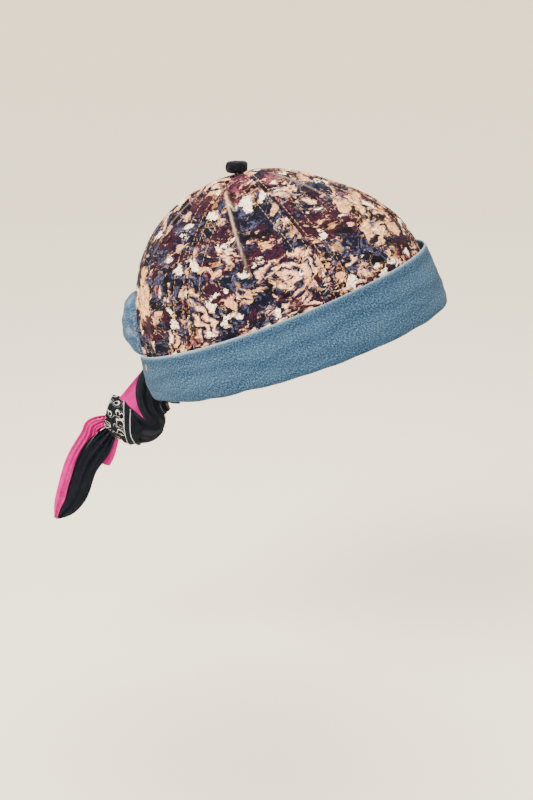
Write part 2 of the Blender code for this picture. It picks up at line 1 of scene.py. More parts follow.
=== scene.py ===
"""The looks of a docker hat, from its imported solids: printed crown, denim cuff, tied bandana."""
import math
from collections import namedtuple

import bmesh
import bpy
import numpy as np
from mathutils import Matrix, Vector
from mathutils.bvhtree import BVHTree


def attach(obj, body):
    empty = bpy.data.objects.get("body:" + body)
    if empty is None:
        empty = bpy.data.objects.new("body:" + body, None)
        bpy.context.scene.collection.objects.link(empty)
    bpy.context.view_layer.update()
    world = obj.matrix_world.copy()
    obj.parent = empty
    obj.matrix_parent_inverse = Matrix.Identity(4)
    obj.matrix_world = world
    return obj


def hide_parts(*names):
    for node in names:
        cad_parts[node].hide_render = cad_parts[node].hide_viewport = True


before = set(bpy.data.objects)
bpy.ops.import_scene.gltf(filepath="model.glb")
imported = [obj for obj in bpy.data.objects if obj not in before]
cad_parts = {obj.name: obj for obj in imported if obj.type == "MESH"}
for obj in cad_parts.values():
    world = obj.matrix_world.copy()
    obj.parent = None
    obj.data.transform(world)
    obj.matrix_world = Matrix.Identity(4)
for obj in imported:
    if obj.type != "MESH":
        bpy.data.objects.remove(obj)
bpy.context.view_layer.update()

# Printed crown
# Six gores of printed cotton meet under the button. Each seam is pressed open and topstitched four
# times in tan thread, and the gore on the near side has a tuck pinched in it from the button down.

WORN_TILT = math.radians(18.9)
CROWN_LENGTH = 0.1984
CROWN_WIDTH = 0.1670
CROWN_HEIGHT = 0.1187
CROWN_WALL = 0.0015
APEX_FORWARD = 0.0016
SEAM_GAP = 0.0003
SEAM_SEWN = 0.00002
HEM_HEIGHT = 0.0024
TIP_ANGLE = 87.9
SEAMS = (-180.0, -120.0, -60.0, 0.0, 60.0, 120.0, 180.0)
STITCH_ROWS = (0.0022, 0.0095)

Ring = namedtuple("Ring", "angle front_out side_out back_out front_up side_up back_up")
CROWN_RINGS = (
    Ring(0.0, 1.000, 1.000, 0.995, 0.000, 0.000, 0.000),
    Ring(18.0, 0.974, 0.985, 0.972, 0.265, 0.225, 0.264),
    Ring(36.0, 0.873, 0.877, 0.904, 0.530, 0.448, 0.549),
    Ring(54.0, 0.642, 0.686, 0.703, 0.738, 0.665, 0.808),
    Ring(72.0, 0.351, 0.400, 0.375, 0.903, 0.865, 0.964),
    Ring(90.0, 0.000, 0.000, 0.000, 1.000, 1.000, 1.000),
)

# Soft upright folds above the cuff: azimuth, spread and the middle of their height are in degrees.
Fold = namedtuple("Fold", "azimuth spread rise middle reach")
CROWN_FOLDS = (
    Fold(-161.0, 4.0, 0.0010, 22.0, 20.0),
    Fold(-152.0, 4.6, 0.0014, 20.0, 26.0),
    Fold(-141.0, 4.0, 0.0012, 24.0, 24.0),
    Fold(-131.0, 4.0, 0.0007, 18.0, 20.0),
    Fold(-104.0, 6.0, 0.0007, 16.0, 16.0),
    Fold(-78.0, 7.0, 0.0006, 20.0, 18.0),
    Fold(78.0, 7.0, 0.0006, 20.0, 18.0),
    Fold(104.0, 6.0, 0.0007, 16.0, 16.0),
    Fold(139.0, 4.5, 0.0012, 22.0, 24.0),
    Fold(152.0, 4.6, 0.0014, 20.0, 26.0),
)

# Tucks pinched down from the button: where, how high, how far down, and how far aside they swing.
Tuck = namedtuple("Tuck", "azimuth rise low high foot_aside top_aside")
CROWN_TUCKS = (
    Tuck(-149.0, 0.0007, 50.0, 80.0, 0.0, 0.0),
    Tuck(-92.0, 0.0028, 44.0, 78.5, 0.0035, -0.0062),
    Tuck(-27.0, 0.0009, 52.0, 80.0, 0.0, 0.0),
    Tuck(30.0, 0.0008, 52.0, 80.0, 0.0, 0.0),
    Tuck(90.0, 0.0015, 48.0, 80.0, 0.0, 0.0),
    Tuck(149.0, 0.0007, 50.0, 80.0, 0.0, 0.0),
)


def natural_curve(places, values, at):
    """A natural cubic spline through values at rising places, read at many places."""
    x = np.array(places)
    y = np.array(values)
    step = np.diff(x)
    system = np.eye(len(x))
    turn = np.zeros(len(x))
    for i in range(1, len(x) - 1):
        system[i, i - 1:i + 2] = step[i - 1], 2 * (step[i - 1] + step[i]), step[i]
        turn[i] = 6 * ((y[i + 1] - y[i]) / step[i] - (y[i] - y[i - 1]) / step[i - 1])
    bend = np.linalg.solve(system, turn)
    i = np.clip(np.searchsorted(x, at) - 1, 0, len(x) - 2)
    before = at - x[i]
    after = x[i + 1] - at
    curve = (bend[i] * after ** 3 + bend[i + 1] * before ** 3) / (6 * step[i])
    left = (y[i] / step[i] - bend[i] * step[i] / 6) * after
    return curve + left + (y[i + 1] / step[i] - bend[i + 1] * step[i] / 6) * before


def crown_curve(column, angle):
    """One column of the crown's table, carried over the apex so that the top stays round."""
    sign = -1.0 if column.endswith("out") else 1.0
    places = [ring.angle for ring in CROWN_RINGS]
    values = [getattr(ring, column) for ring in CROWN_RINGS]
    places += [180.0 - place for place in places[-2::-1]]
    values += [sign * value for value in values[-2::-1]]
    return natural_curve(places, values, angle)


def crown_face(azimuth, angle):
    """Points of the crown's outer face in the upright hat, for arrays of turns in degrees."""
    turn = np.radians(azimuth)
    front = np.cos(turn) > 0
    share = np.cos(turn) ** 2
    out = np.where(front, crown_curve("front_out", angle), crown_curve("back_out", angle))
    up = np.where(front, crown_curve("front_up", angle), crown_curve("back_up", angle))
    up = share * up + (1 - share) * crown_curve("side_up", angle)
    x = out * CROWN_LENGTH / 2 * np.cos(turn) + APEX_FORWARD * np.sin(np.radians(angle)) ** 3
    y = crown_curve("side_out", angle) * CROWN_WIDTH / 2 * np.sin(turn)
    return np.stack([x, y, up * CROWN_HEIGHT], -1)


def crown_skin(azimuth, angle, lift):
    """Points lifted off the crown's outer face along its normal."""
    nudge = 0.2
    around = crown_face(azimuth + nudge, angle) - crown_face(azimuth - nudge, angle)
    upward = crown_face(azimuth, angle + nudge) - crown_face(azimuth, angle - nudge)
    normal = np.cross(around, upward)
    normal /= np.linalg.norm(normal, axis=-1, keepdims=True)
    return crown_face(azimuth, angle) + normal * np.asarray(lift)[..., None]


def crown_angle(azimuth, height):
    """The table angle at which the crown reaches a height."""
    low = np.zeros(np.broadcast(azimuth, height).shape)
    high = low + 90.0
    for _ in range(24):
        middle = (low + high) / 2
        under = crown_face(azimuth, middle)[..., 2] < height
        low = np.where(under, middle, low)
        high = np.where(under, high, middle)
    return (low + high) / 2


def arc_per_degree(azimuth, angle):
    """Length of cloth for one degree of azimuth."""
    step = crown_face(azimuth + 0.5, angle) - crown_face(azimuth - 0.5, angle)
    return np.linalg.norm(step, axis=-1)


def worn(points):
    """Points of the upright hat where they lie in the worn hat."""
    tilt = np.array(Matrix.Rotation(-WORN_TILT, 3, "Y"))
    return np.asarray(points) @ tilt.T


def hump(distance, reach):
    """A round hump of height 1 that ends at reach."""
    return np.cos(np.clip(distance / reach, -1, 1) * math.pi / 2) ** 2


def ridge(distance, width):
    """A narrow ridge of height 1 with soft sides."""
    return np.exp(-(distance / width) ** 2)


def ripples(points, size, seed):
    """Soft random waves from -1 to 1, about size metres from crest to crest."""
    dice = np.random.default_rng(seed)
    total = np.zeros(points.shape[:-1])
    for _ in range(7):
        heading = dice.normal(size=3)
        heading *= 2 * math.pi / size * dice.uniform(0.6, 1.5) / np.linalg.norm(heading)
        total += np.cos(points @ heading + dice.uniform(0, 2 * math.pi))
    return total / 4


ARCH_WIDTH = 0.0560
ARCH_TOP = 0.0690
ARCH_SHOULDER = 0.0380
ARCH_LAP = 0.0018
CUFF_CORNER = 0.0120
CUFF_END = 160.0


def arch_azimuth(angle, lap=0.0):
    """Azimuth of the arch's edge at a table angle, on the hat's left, with its cloth lapped inward."""
    height = crown_face(180.0, angle)[..., 2]
    above = np.clip((height - ARCH_SHOULDER) / (ARCH_TOP - lap - ARCH_SHOULDER), 0, 1)
    half = (ARCH_WIDTH / 2 - lap) * np.sqrt(1 - above ** 2)
    across = crown_curve("side_out", angle) * CROWN_WIDTH / 2
    return 180.0 - np.degrees(np.arcsin(np.clip(half / across, 0, 1)))


def tuck_aside(tuck, share):
    """How far a tuck has swung aside at a share of its height."""
    return tuck.foot_aside + (tuck.top_aside - tuck.foot_aside) * share


def crown_relief(azimuth, angle):
    """Rise of the cloth off the plain crown: seams, rows of stitching, tucks and folds."""
    spread = arc_per_degree(azimuth, angle)
    along = np.radians(angle) * CROWN_HEIGHT
    upright = crown_face(azimuth, angle)
    rise = 0.00035 * ripples(upright, 0.030, 3) + 0.00018 * ripples(upright, 0.011, 4)
    below_tip = np.clip((TIP_ANGLE - angle) / 9, 0, 1)
    for seam in SEAMS:
        away = np.abs(azimuth - seam) * spread
        rise -= 0.0010 * np.exp(-away / 0.0006)
        rise += 0.0004 * hump(away - 0.0050, 0.0062) * below_tip
        for row in STITCH_ROWS:
            rise -= 0.0004 * ridge(away - row, 0.0006) * below_tip
            pucker = np.sin(along * 2 * math.pi / 0.0052 + seam) * ridge(away - row, 0.0022)
            rise += 0.00016 * pucker * below_tip
    for tuck in CROWN_TUCKS:
        share = (angle - tuck.low) / (tuck.high - tuck.low)
        away = (azimuth - tuck.azimuth) * spread - tuck_aside(tuck, share)
        crest = np.where(away < 0, hump(away, 0.0046), hump(away, 0.0013))
        length = np.clip(share * 2.2, 0, 1) * np.clip((1 - share) * 16, 0, 1)
        rise += tuck.rise * length * (crest - 0.35 * hump(away - 0.0022, 0.0018))
    for fold in CROWN_FOLDS:
        crease = hump(azimuth - fold.azimuth, fold.spread) * hump(angle - fold.middle, fold.reach)
        rise += fold.rise * crease
    return rise


def tuck_highlight_and_shadow(azimuth, angle):
    """The painted highlight along each tuck's crest and the painted shadow in the crease beside it, from 0
    to 1.
    """
    crest = np.zeros(azimuth.shape)
    tuck_shadow = np.zeros(azimuth.shape)
    for tuck in CROWN_TUCKS:
        share = (angle - tuck.low) / (tuck.high - tuck.low)
        away = (azimuth - tuck.azimuth) * arc_per_degree(azimuth, angle) - tuck_aside(tuck, share)
        strength = np.clip(share * 2.2, 0, 1) * np.clip((1 - share) * 16, 0, 1) * tuck.rise / 0.0028
        crest += strength * ridge(away + 0.0009, 0.0007)
        tuck_shadow += strength * ridge(away - 0.0018, 0.0014)
    return np.clip(crest, 0, 1), np.clip(tuck_shadow, 0, 1)


def wall(name, outer, inner, cloth, finishes):
    """A closed cloth wall between two matching grids; cloth holds its pattern coordinates."""
    rows, columns = outer.shape[:2]
    index = np.arange(rows * columns).reshape(rows, columns)
    quads = np.stack([index[:-1, :-1], index[:-1, 1:], index[1:, 1:], index[1:, :-1]], -1)
    quads = quads.reshape(-1, 4)
    edge = np.concatenate([index[0, :-1], index[:-1, -1], index[-1, :0:-1], index[:0:-1, 0]])
    after = np.roll(edge, -1)
    back = rows * columns
    rim = np.stack([after, edge, edge + back, after + back], -1)
    faces = np.concatenate([quads, quads[:, ::-1] + back, rim])
    middle = quads[len(quads) // 2]
    flat = outer.reshape(-1, 3)
    facing = np.cross(flat[middle[1]] - flat[middle[0]], flat[middle[3]] - flat[middle[0]])
    if facing @ (flat[middle[0]] - inner.reshape(-1, 3)[middle[0]]) < 0:
        faces = faces[:, ::-1]
    mesh = bpy.data.meshes.new(name)
    mesh.from_pydata(np.concatenate([flat, inner.reshape(-1, 3)]), [], faces.tolist())
    for finish in finishes:
        mesh.materials.append(finish)
    kinds = np.zeros(len(faces), int)
    kinds[len(quads):2 * len(quads)] = len(finishes) - 1
    mesh.polygons.foreach_set("material_index", kinds)
    both = np.concatenate([cloth.reshape(-1, 2)] * 2)
    set_cloth(mesh, both)
    mesh.shade_smooth()
    made = bpy.data.objects.new(name, mesh)
    bpy.context.collection.objects.link(made)
    return made


def set_cloth(mesh, coordinates):
    """Stores each point's pattern coordinates, in metres along the cloth, as the UV map."""
    layer = mesh.uv_layers.new(name="cloth")
    corner = np.zeros(len(mesh.loops), int)
    mesh.loops.foreach_get("vertex_index", corner)
    layer.data.foreach_set("uv", coordinates[corner].astype(np.float32).ravel())


def set_mark(piece, mark, values):
    """Stores a value from 0 to 1 at each point of a piece: how worn or printed it is, or how much painted
    highlight or painted shade it gets.
    """
    layer = piece.data.attributes.new(mark, "FLOAT", "POINT")
    layer.data.foreach_set("value", values.astype(np.float32))


def add(tree, kind, inputs=None, **settings):
    """A new node; each input is given a value or another node's output."""
    made = tree.nodes.new(kind)
    for key, value in settings.items():
        setattr(made, key, value)
    for key, value in (inputs or {}).items():
        if isinstance(value, bpy.types.NodeSocket):
            tree.links.new(value, made.inputs[key])
        else:
            made.inputs[key].default_value = value
    return made


def calc(tree, operation, *values, clamp=False):
    """The output of a Math node."""
    inputs = dict(enumerate(values))
    return add(tree, "ShaderNodeMath", inputs, operation=operation, use_clamp=clamp).outputs[0]


def vector_calc(tree, operation, *values):
    """The output of a Vector Math node."""
    made = add(tree, "ShaderNodeVectorMath", operation=operation)
    for socket, value in zip(made.inputs, values):
        if isinstance(value, bpy.types.NodeSocket):
            tree.links.new(value, socket)
        elif isinstance(value, float):
            made.inputs["Scale"].default_value = value
        else:
            socket.default_value = value
    return made.outputs["Value" if operation in ("LENGTH", "DOT_PRODUCT") else "Vector"]


def blend(tree, share, first, second, kind="MIX"):
    """One colour laid over another."""
    made = add(tree, "ShaderNodeMix", data_type="RGBA", blend_type=kind)
    for socket, value in ((made.inputs[0], share), (made.inputs[6], first), (made.inputs[7], second)):
        if isinstance(value, bpy.types.NodeSocket):
            tree.links.new(value, socket)
        else:
            socket.default_value = value if isinstance(value, float) else (*value, 1.0)
    return made.outputs[2]


def ramp(tree, value, stops):
    """A colour ramp through (place, colour) stops."""
    made = add(tree, "ShaderNodeValToRGB", {0: value})
    band = made.color_ramp
    for place, colour in stops[2:]:
        band.elements.new(place)
    for element, (place, colour) in zip(band.elements, sorted(stops)):
        element.position = place
        element.color = (*colour, 1.0)
    return made.outputs[0]


def step_up(tree, value, low, high):
    """A smooth 0 to 1 step between low and high."""
    inputs = {"Value": value, "From Min": low, "From Max": high}
    return add(tree, "ShaderNodeMapRange", inputs, interpolation_type="SMOOTHSTEP").outputs[0]


def noise(tree, coordinates, scale, detail=3.0, output=0):
    """A noise texture's value, or its colour."""
    inputs = {"Vector": coordinates, "Scale": scale, "Detail": detail, "Roughness": 0.6}
    return add(tree, "ShaderNodeTexNoise", inputs).outputs[output]


def marked(tree, mark):
    """The value that set_mark stored on the piece."""
    return add(tree, "ShaderNodeAttribute", attribute_name=mark).outputs["Fac"]


def tinted(tree, share, colour, place, low, high):
    """A colour made darker and lighter by a value from 0 to 1."""
    return blend(tree, share, colour, blend(tree, place, low, high), "MULTIPLY")


def new_group(name, inputs, outputs):
    """An empty shader node group with its sockets, and its input and output nodes."""
    tree = bpy.data.node_groups.new(name, "ShaderNodeTree")
    for socket, kind, value in inputs:
        made = tree.interface.new_socket(socket, in_out="INPUT", socket_type="NodeSocket" + kind)
        if value is not None:
            made.default_value = value
    for socket, kind in outputs:
        tree.interface.new_socket(socket, in_out="OUTPUT", socket_type="NodeSocket" + kind)
    return tree, tree.nodes.new("NodeGroupInput").outputs, tree.nodes.new("NodeGroupOutput").inputs


def fill_group(tree, group, inputs):
    """A placed node group with values or links on its inputs."""
    made = tree.nodes.new("ShaderNodeGroup")
    made.node_tree = group
    for key, value in inputs.items():
        if isinstance(value, bpy.types.NodeSocket):
            tree.links.new(value, made.inputs[key])
        else:
            made.inputs[key].default_value = value
    return made.outputs


# Colours are linear.
INK = (0.004, 0.005, 0.012)
NAVY = (0.010, 0.014, 0.036)
LAVENDER = (0.120, 0.125, 0.210)
PLUM = (0.032, 0.010, 0.028)
WINE = (0.070, 0.020, 0.046)
ROSE = (0.240, 0.082, 0.120)
SALMON = (0.520, 0.230, 0.140)
PEACH = (0.880, 0.520, 0.300)
BLUSH = (0.950, 0.690, 0.470)
SAND = (0.480, 0.290, 0.130)
CREAM = (0.980, 0.880, 0.720)
PRINT_DEPTH = 1.34
FULL_TURN = 6.28


def weave_group():
    """Threads of a woven cloth: their height and an uneven fleck, for any cloth of the hat."""
    inputs = (("Vector", "Vector", None), ("Threads", "Float", 1600.0), ("Slant", "Float", 0.0))
    tree, given, result = new_group("weave", inputs, (("Height", "Float"), ("Fleck", "Float")))
    parts = add(tree, "ShaderNodeSeparateXYZ", {0: given["Vector"]}).outputs
    across = calc(tree, "MULTIPLY", parts[0], given["Threads"])
    along = calc(tree, "MULTIPLY", parts[1], given["Threads"])
    slanted = calc(tree, "MULTIPLY_ADD", along, given["Slant"], across)
    warp = calc(tree, "SINE", calc(tree, "MULTIPLY", slanted, 2 * math.pi))
    weft = calc(tree, "SINE", calc(tree, "MULTIPLY", along, 2 * math.pi))
    height = calc(tree, "MULTIPLY_ADD", warp, weft, warp)
    tree.links.new(calc(tree, "MULTIPLY_ADD", height, 0.25, 0.5), result["Height"])
    fleck_across = calc(tree, "MULTIPLY", slanted, 1.05)
    fleck_along = calc(tree, "MULTIPLY", along, 0.80)
    grain = add(tree, "ShaderNodeCombineXYZ", {0: fleck_across, 1: fleck_along})
    tree.links.new(noise(tree, grain.outputs[0], 1.0, 4.0), result["Fleck"])
    return tree


WEAVE = weave_group()


def jitter(tree, place, scale, reach):
    """Place pushed about by a noise, by up to half of reach."""
    push = vector_calc(tree, "SUBTRACT", noise(tree, place, scale, 3.0, 1), (0.5, 0.5, 0.5))
    return vector_calc(tree, "ADD", place, vector_calc(tree, "SCALE", push, reach))


def patches(tree, place, shift, scale, low, high):
    """Ragged patches where a noise rises from low to high."""
    return step_up(tree, noise(tree, vector_calc(tree, "ADD", place, shift), scale, 6.0), low, high)


def painted_cells(tree, place, scale, shift):
    """A scatter of painted blots: a random pick, the way out from each middle, and brush strokes."""
    moved = vector_calc(tree, "ADD", place, shift)
    settings = {"Vector": moved, "Scale": scale, "Randomness": 0.9}
    cells = add(tree, "ShaderNodeTexVoronoi", settings, voronoi_dimensions="2D").outputs
    local = vector_calc(tree, "SUBTRACT", moved, cells["Position"])
    parts = add(tree, "ShaderNodeSeparateXYZ", {0: local}).outputs
    angle = calc(tree, "ARCTAN2", parts[1], parts[0])
    pick = add(tree, "ShaderNodeSeparateColor", {0: cells["Color"]}).outputs
    turn = calc(tree, "MULTIPLY", pick[1], FULL_TURN)
    turned = add(tree, "ShaderNodeVectorRotate", {"Vector": local, "Angle": turn})
    drawn = vector_calc(tree, "MULTIPLY", turned.outputs[0], (0.24, 1.0, 1.0))
    strokes = noise(tree, vector_calc(tree, "ADD", drawn, cells["Color"]), 420.0, 4.0)
    return cells["Distance"], angle, pick, strokes


def rose_print_group():
    """Painted roses in peach and navy on ink, plum and wine, broken up by dry brush work."""
    tree, given, result = new_group("rose_print", (("Vector", "Vector", None),), (("Color", "Color"),))
    flat = given["Vector"]
    soft = jitter(tree, flat, 34.0, 0.020)
    place = jitter(tree, jitter(tree, soft, 120.0, 0.009), 520.0, 0.0020)
    out, angle, pick, strokes = painted_cells(tree, place, 31.0, (0.013, 0.029, 0.0))
    mottle = noise(tree, place, 170.0, 6.0)
    uneven = calc(tree, "MULTIPLY_ADD", mottle, 0.5, calc(tree, "MULTIPLY", strokes, 0.5))
    ring = calc(tree, "MULTIPLY_ADD", out, 4.6, calc(tree, "MULTIPLY", angle, 1 / FULL_TURN))
    petals = calc(tree, "FRACT", calc(tree, "MULTIPLY_ADD", uneven, 1.5, ring))
    rose = ramp(tree, petals, [
        (0.00, INK), (1.00, INK), (0.16, NAVY), (0.24, LAVENDER), (0.32, SALMON), (0.44, PEACH),
        (0.60, BLUSH), (0.76, PEACH), (0.86, LAVENDER)])
    night = ramp(tree, uneven, [
        (0.30, INK), (0.72, LAVENDER), (0.42, NAVY), (0.50, NAVY), (0.56, LAVENDER), (0.63, NAVY)])
    plum = ramp(tree, uneven, [(0.34, INK), (0.74, ROSE), (0.43, PLUM), (0.52, WINE), (0.60, PLUM)])
    wine = ramp(tree, uneven, [(0.34, PLUM), (0.76, BLUSH), (0.46, WINE), (0.55, ROSE), (0.63, SALMON)])
    sand = ramp(tree, uneven, [(0.34, PLUM), (0.74, CREAM), (0.42, SAND), (0.50, PEACH), (0.58, BLUSH)])
    colour = rose
    for share, other in ((0.34, night), (0.60, plum), (0.82, wine), (0.91, sand)):
        colour = blend(tree, step_up(tree, pick[0], share - 0.005, share + 0.005), colour, other)
    overlays = (
        ((0.37, 0.11, 0.0), 34.0, 0.530, 0.560, night, 0.97),
        ((0.83, 0.47, 0.0), 31.0, 0.540, 0.570, plum, 0.95),
        ((0.29, 0.71, 0.0), 40.0, 0.575, 0.600, rose, 0.95),
        ((0.11, 0.83, 0.0), 62.0, 0.600, 0.640, wine, 0.85),
        ((0.71, 0.23, 0.0), 66.0, 0.620, 0.660, SAND, 0.80),
        ((0.61, 0.97, 0.0), 78.0, 0.560, 0.600, INK, 0.92),
        ((0.53, 0.19, 0.0), 80.0, 0.580, 0.620, PEACH, 0.85),
        ((0.21, 0.53, 0.0), 70.0, 0.606, 0.620, CREAM, 1.00),
    )
    for shift, scale, low, high, paint, strength in overlays:
        shown = calc(tree, "MULTIPLY", patches(tree, place, shift, scale, low, high), strength)
        colour = blend(tree, shown, colour, paint)
    vein = calc(tree, "ABSOLUTE", calc(tree, "SUBTRACT", noise(tree, place, 48.0, 5.0), 0.5))
    veins = calc(tree, "MULTIPLY", step_up(tree, vein, 0.010, 0.004), step_up(tree, strokes, 0.46, 0.56))
    colour = blend(tree, calc(tree, "MULTIPLY", veins, 0.5), colour, BLUSH)
    dry = step_up(tree, noise(tree, flat, 760.0, 3.0), 0.36, 0.66)
    colour = tinted(tree, 0.62, colour, dry, (0.42, 0.40, 0.46), (1.60, 1.56, 1.50))
    light = calc(tree, "MULTIPLY", step_up(tree, noise(tree, flat, 1150.0, 2.0), 0.60, 0.72), 0.20)
    colour = blend(tree, light, colour, blend(tree, mottle, LAVENDER, PEACH))
    deep = add(tree, "ShaderNodeGamma", {"Color": colour, "Gamma": PRINT_DEPTH}).outputs[0]
    tree.links.new(deep, result["Color"])
    return tree


ROSE_PRINT = rose_print_group()


def new_material(name, roughness, sheen, sheen_tint):
    """A cloth material: its tree, its shader and the pattern coordinates of its surface."""
    made = bpy.data.materials.new(name)
    made.use_nodes = True
    tree = made.node_tree
    shader = tree.nodes["Principled BSDF"]
    shader.inputs["Roughness"].default_value = roughness
    shader.inputs["Sheen Weight"].default_value = sheen
    shader.inputs["Sheen Roughness"].default_value = 0.45
    shader.inputs["Sheen Tint"].default_value = (*sheen_tint, 1.0)
    shader.inputs["Specular IOR Level"].default_value = 0.10
    cloth = add(tree, "ShaderNodeUVMap", uv_map="cloth").outputs[0]
    return made, tree, shader, cloth


def bump(tree, shader, height, depth):
    """Feeds a height to the shader's normal; depth is in metres."""
    made = add(tree, "ShaderNodeBump", {"Height": height, "Distance": depth, "Strength": 1.0})
    tree.links.new(made.outputs[0], shader.inputs["Normal"])


def printed_cotton(name, fade):
    """The printed cloth, or its paler wrong side."""
    made, tree, shader, cloth = new_material(name, 0.80, 0.0, (1.0, 1.0, 1.0))
    colour = fill_group(tree, ROSE_PRINT, {"Vector": cloth})["Color"]
    threads = fill_group(tree, WEAVE, {"Vector": cloth, "Threads": 1500.0})
    tone = step_up(tree, threads["Fleck"], 0.25, 0.75)
    colour = tinted(tree, 0.30, colour, tone, (0.60, 0.60, 0.63), (1.40, 1.37, 1.35))
    # Painted highlight in blush along the tucks' crests, and painted shadow in ink in the creases beside
    # them.
    crest = marked(tree, "crest")
    colour = blend(tree, calc(tree, "MULTIPLY", crest, 0.55), colour, BLUSH)
    tuck_shadow = marked(tree, "tuck_shadow")
    colour = blend(tree, calc(tree, "MULTIPLY", tuck_shadow, 0.9), colour, INK)
    if fade:
        colour = blend(tree, fade, colour, (0.42, 0.36, 0.38))
    tree.links.new(colour, shader.inputs["Base Color"])
    bump(tree, shader, threads["Height"], 0.00012)
    return made


print_face = printed_cotton("printed_cotton", 0.0)
print_reverse = printed_cotton("printed_cotton_reverse", 0.6)


def gore(name, first, last):
    """One gore of the crown, cut round the arch where it meets it."""
    rows, columns = 150, 96
    t = np.linspace(-1, 1, columns + 1)
    place = np.sign(t) * (1 - (1 - np.abs(t)) ** 1.5)
    middle, half = (first + last) / 2, (last - first) / 2
    azimuth = np.tile(middle + half * place, (rows + 1, 1))
    rise = np.linspace(0, 1, rows + 1)[:, None]
    arch_top = crown_angle(180.0, ARCH_TOP - ARCH_LAP)
    lower = np.clip(rise * 2, 0, 1)
    upper = np.clip(rise * 2 - 1, 0, 1)
    lower = 1 - (1 - lower) ** 1.4

    def angles(at):
        short = np.clip(CUFF_CORNER + 0.001 - (CUFF_END - np.abs(at)) * 0.00165, 0, CUFF_CORNER)
        lift = CUFF_CORNER - np.sqrt(CUFF_CORNER ** 2 - short ** 2)
        hem = crown_angle(at, HEM_HEIGHT + lift)
        return hem + (arch_top - hem) * lower + (TIP_ANGLE - arch_top) * upper

    angle = angles(azimuth)
    gap = SEAM_SEWN / 2 / arc_per_degree(azimuth, angle)
    azimuth = middle + (half - gap) * place
    if 180.0 in (abs(first), abs(last)):
        edge = arch_azimuth(angles(arch_azimuth(angle[:, :1], ARCH_LAP)), ARCH_LAP)
        near, far = np.abs(azimuth).min(1, keepdims=True), np.abs(azimuth).max(1, keepdims=True)
        squeeze = (np.minimum(edge, far) - near) / (far - near)
        azimuth = np.copysign(near + (np.abs(azimuth) - near) * squeeze, azimuth)
        angle = angles(azimuth)
    outer = crown_skin(azimuth, angle, crown_relief(azimuth, angle))
    inner = crown_skin(azimuth, angle, np.full(angle.shape, -CROWN_WALL))
    across = (azimuth - middle) * arc_per_degree(azimuth, angle)
    along = np.radians(angle) * CROWN_HEIGHT * 1.05
    cloth = np.stack([across + middle * 0.0031 + 0.9, along + middle * 0.0007], -1)
    made = wall(name, worn(outer), worn(inner), cloth, (print_face, print_reverse))
    # Painted light on the tucks: a highlight along each crest and a shadow in the crease beside it.
    for mark, values in zip(("crest", "tuck_shadow"), tuck_highlight_and_shadow(azimuth, angle)):
        set_mark(made, mark, np.tile(values.ravel(), 2))
    widest = np.linalg.norm(np.diff(outer[rows // 4], axis=0), axis=1).sum()
    longest = np.linalg.norm(np.diff(outer[:, columns // 2], axis=0), axis=1).sum()
    return made, widest, longest


GORES = (
    ("back_right", -180.0, -120.0),
    ("side_right", -120.0, -60.0),
    ("front_right", -60.0, 0.0),
    ("front_left", 0.0, 60.0),
    ("side_left", 60.0, 120.0),
    ("back_left", 120.0, 180.0),
)
for side, first, last in GORES:
    panel, widest, longest = gore("printed_panel_" + side, first, last)
    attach(panel, "root")
    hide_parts("crown_panel_" + side)

# Topstitching
# Rows of tan thread, two each side of every seam of the crown, sewn through the seam's open edges.
# Each stitch is a short tight lens of thread, and one node tree lays all of the hat's stitches.

THREAD = 0.00042
STITCH_PITCH = 0.0031
STITCH_LENGTH = 0.0023


def thread_material(name, colour):
    """Twisted cotton thread."""
    made = bpy.data.materials.new(name)
    made.use_nodes = True
    tree = made.node_tree
    shader = tree.nodes["Principled BSDF"]
    shader.inputs["Roughness"].default_value = 0.6
    shader.inputs["Sheen Weight"].default_value = 0.2
    place = add(tree, "ShaderNodeTexCoord").outputs["Object"]
    uneven = noise(tree, place, 900.0, 2.0)
    dark = tuple(part * 0.45 for part in colour)
    tree.links.new(blend(tree, uneven, dark, colour), shader.inputs["Base Color"])
    bump(tree, shader, noise(tree, place, 3000.0, 1.0), 0.0001)
    return made


tan_thread = thread_material("tan_thread", (0.62, 0.30, 0.085))


def stitch_tree():
    """Lays a lens of thread at even steps along a curve."""
    tree = bpy.data.node_groups.new("stitches", "GeometryNodeTree")
    face = tree.interface
    face.new_socket("Geometry", in_out="INPUT", socket_type="NodeSocketGeometry")
    for name, value in (("Pitch", STITCH_PITCH), ("Length", STITCH_LENGTH), ("Thread", THREAD)):
        face.new_socket(name, in_out="INPUT", socket_type="NodeSocketFloat").default_value = value
    face.new_socket("Material", in_out="INPUT", socket_type="NodeSocketMaterial")
    face.new_socket("Geometry", in_out="OUTPUT", socket_type="NodeSocketGeometry")
    given = tree.nodes.new("NodeGroupInput").outputs
    inputs = {"Curve": given["Geometry"], "Length": given["Pitch"]}
    points = add(tree, "GeometryNodeCurveToPoints", inputs, mode="LENGTH")
    bead = add(tree, "GeometryNodeMeshUVSphere", {"Segments": 6, "Rings": 5, "Radius": 0.5})
    size = add(tree, "ShaderNodeCombineXYZ", {0: given["Length"], 1: given["Thread"], 2: given["Thread"]})
    turn = add(tree, "FunctionNodeAlignRotationToVector", {"Vector": points.outputs["Tangent"]}, axis="X")
    inputs = {
        "Points": points.outputs["Points"], "Instance": bead.outputs["Mesh"],
        "Rotation": turn.outputs[0], "Scale": size.outputs[0]}
    placed = add(tree, "GeometryNodeInstanceOnPoints", inputs)
    real = add(tree, "GeometryNodeRealizeInstances", {0: placed.outputs[0]})
    inputs = {"Geometry": real.outputs[0], "Material": given["Material"]}
    finish = add(tree, "GeometryNodeSetMaterial", inputs)
    end = tree.nodes.new("NodeGroupOutput")
    tree.links.new(finish.outputs[0], end.inputs[0])
    return tree


STITCHES = stitch_tree()


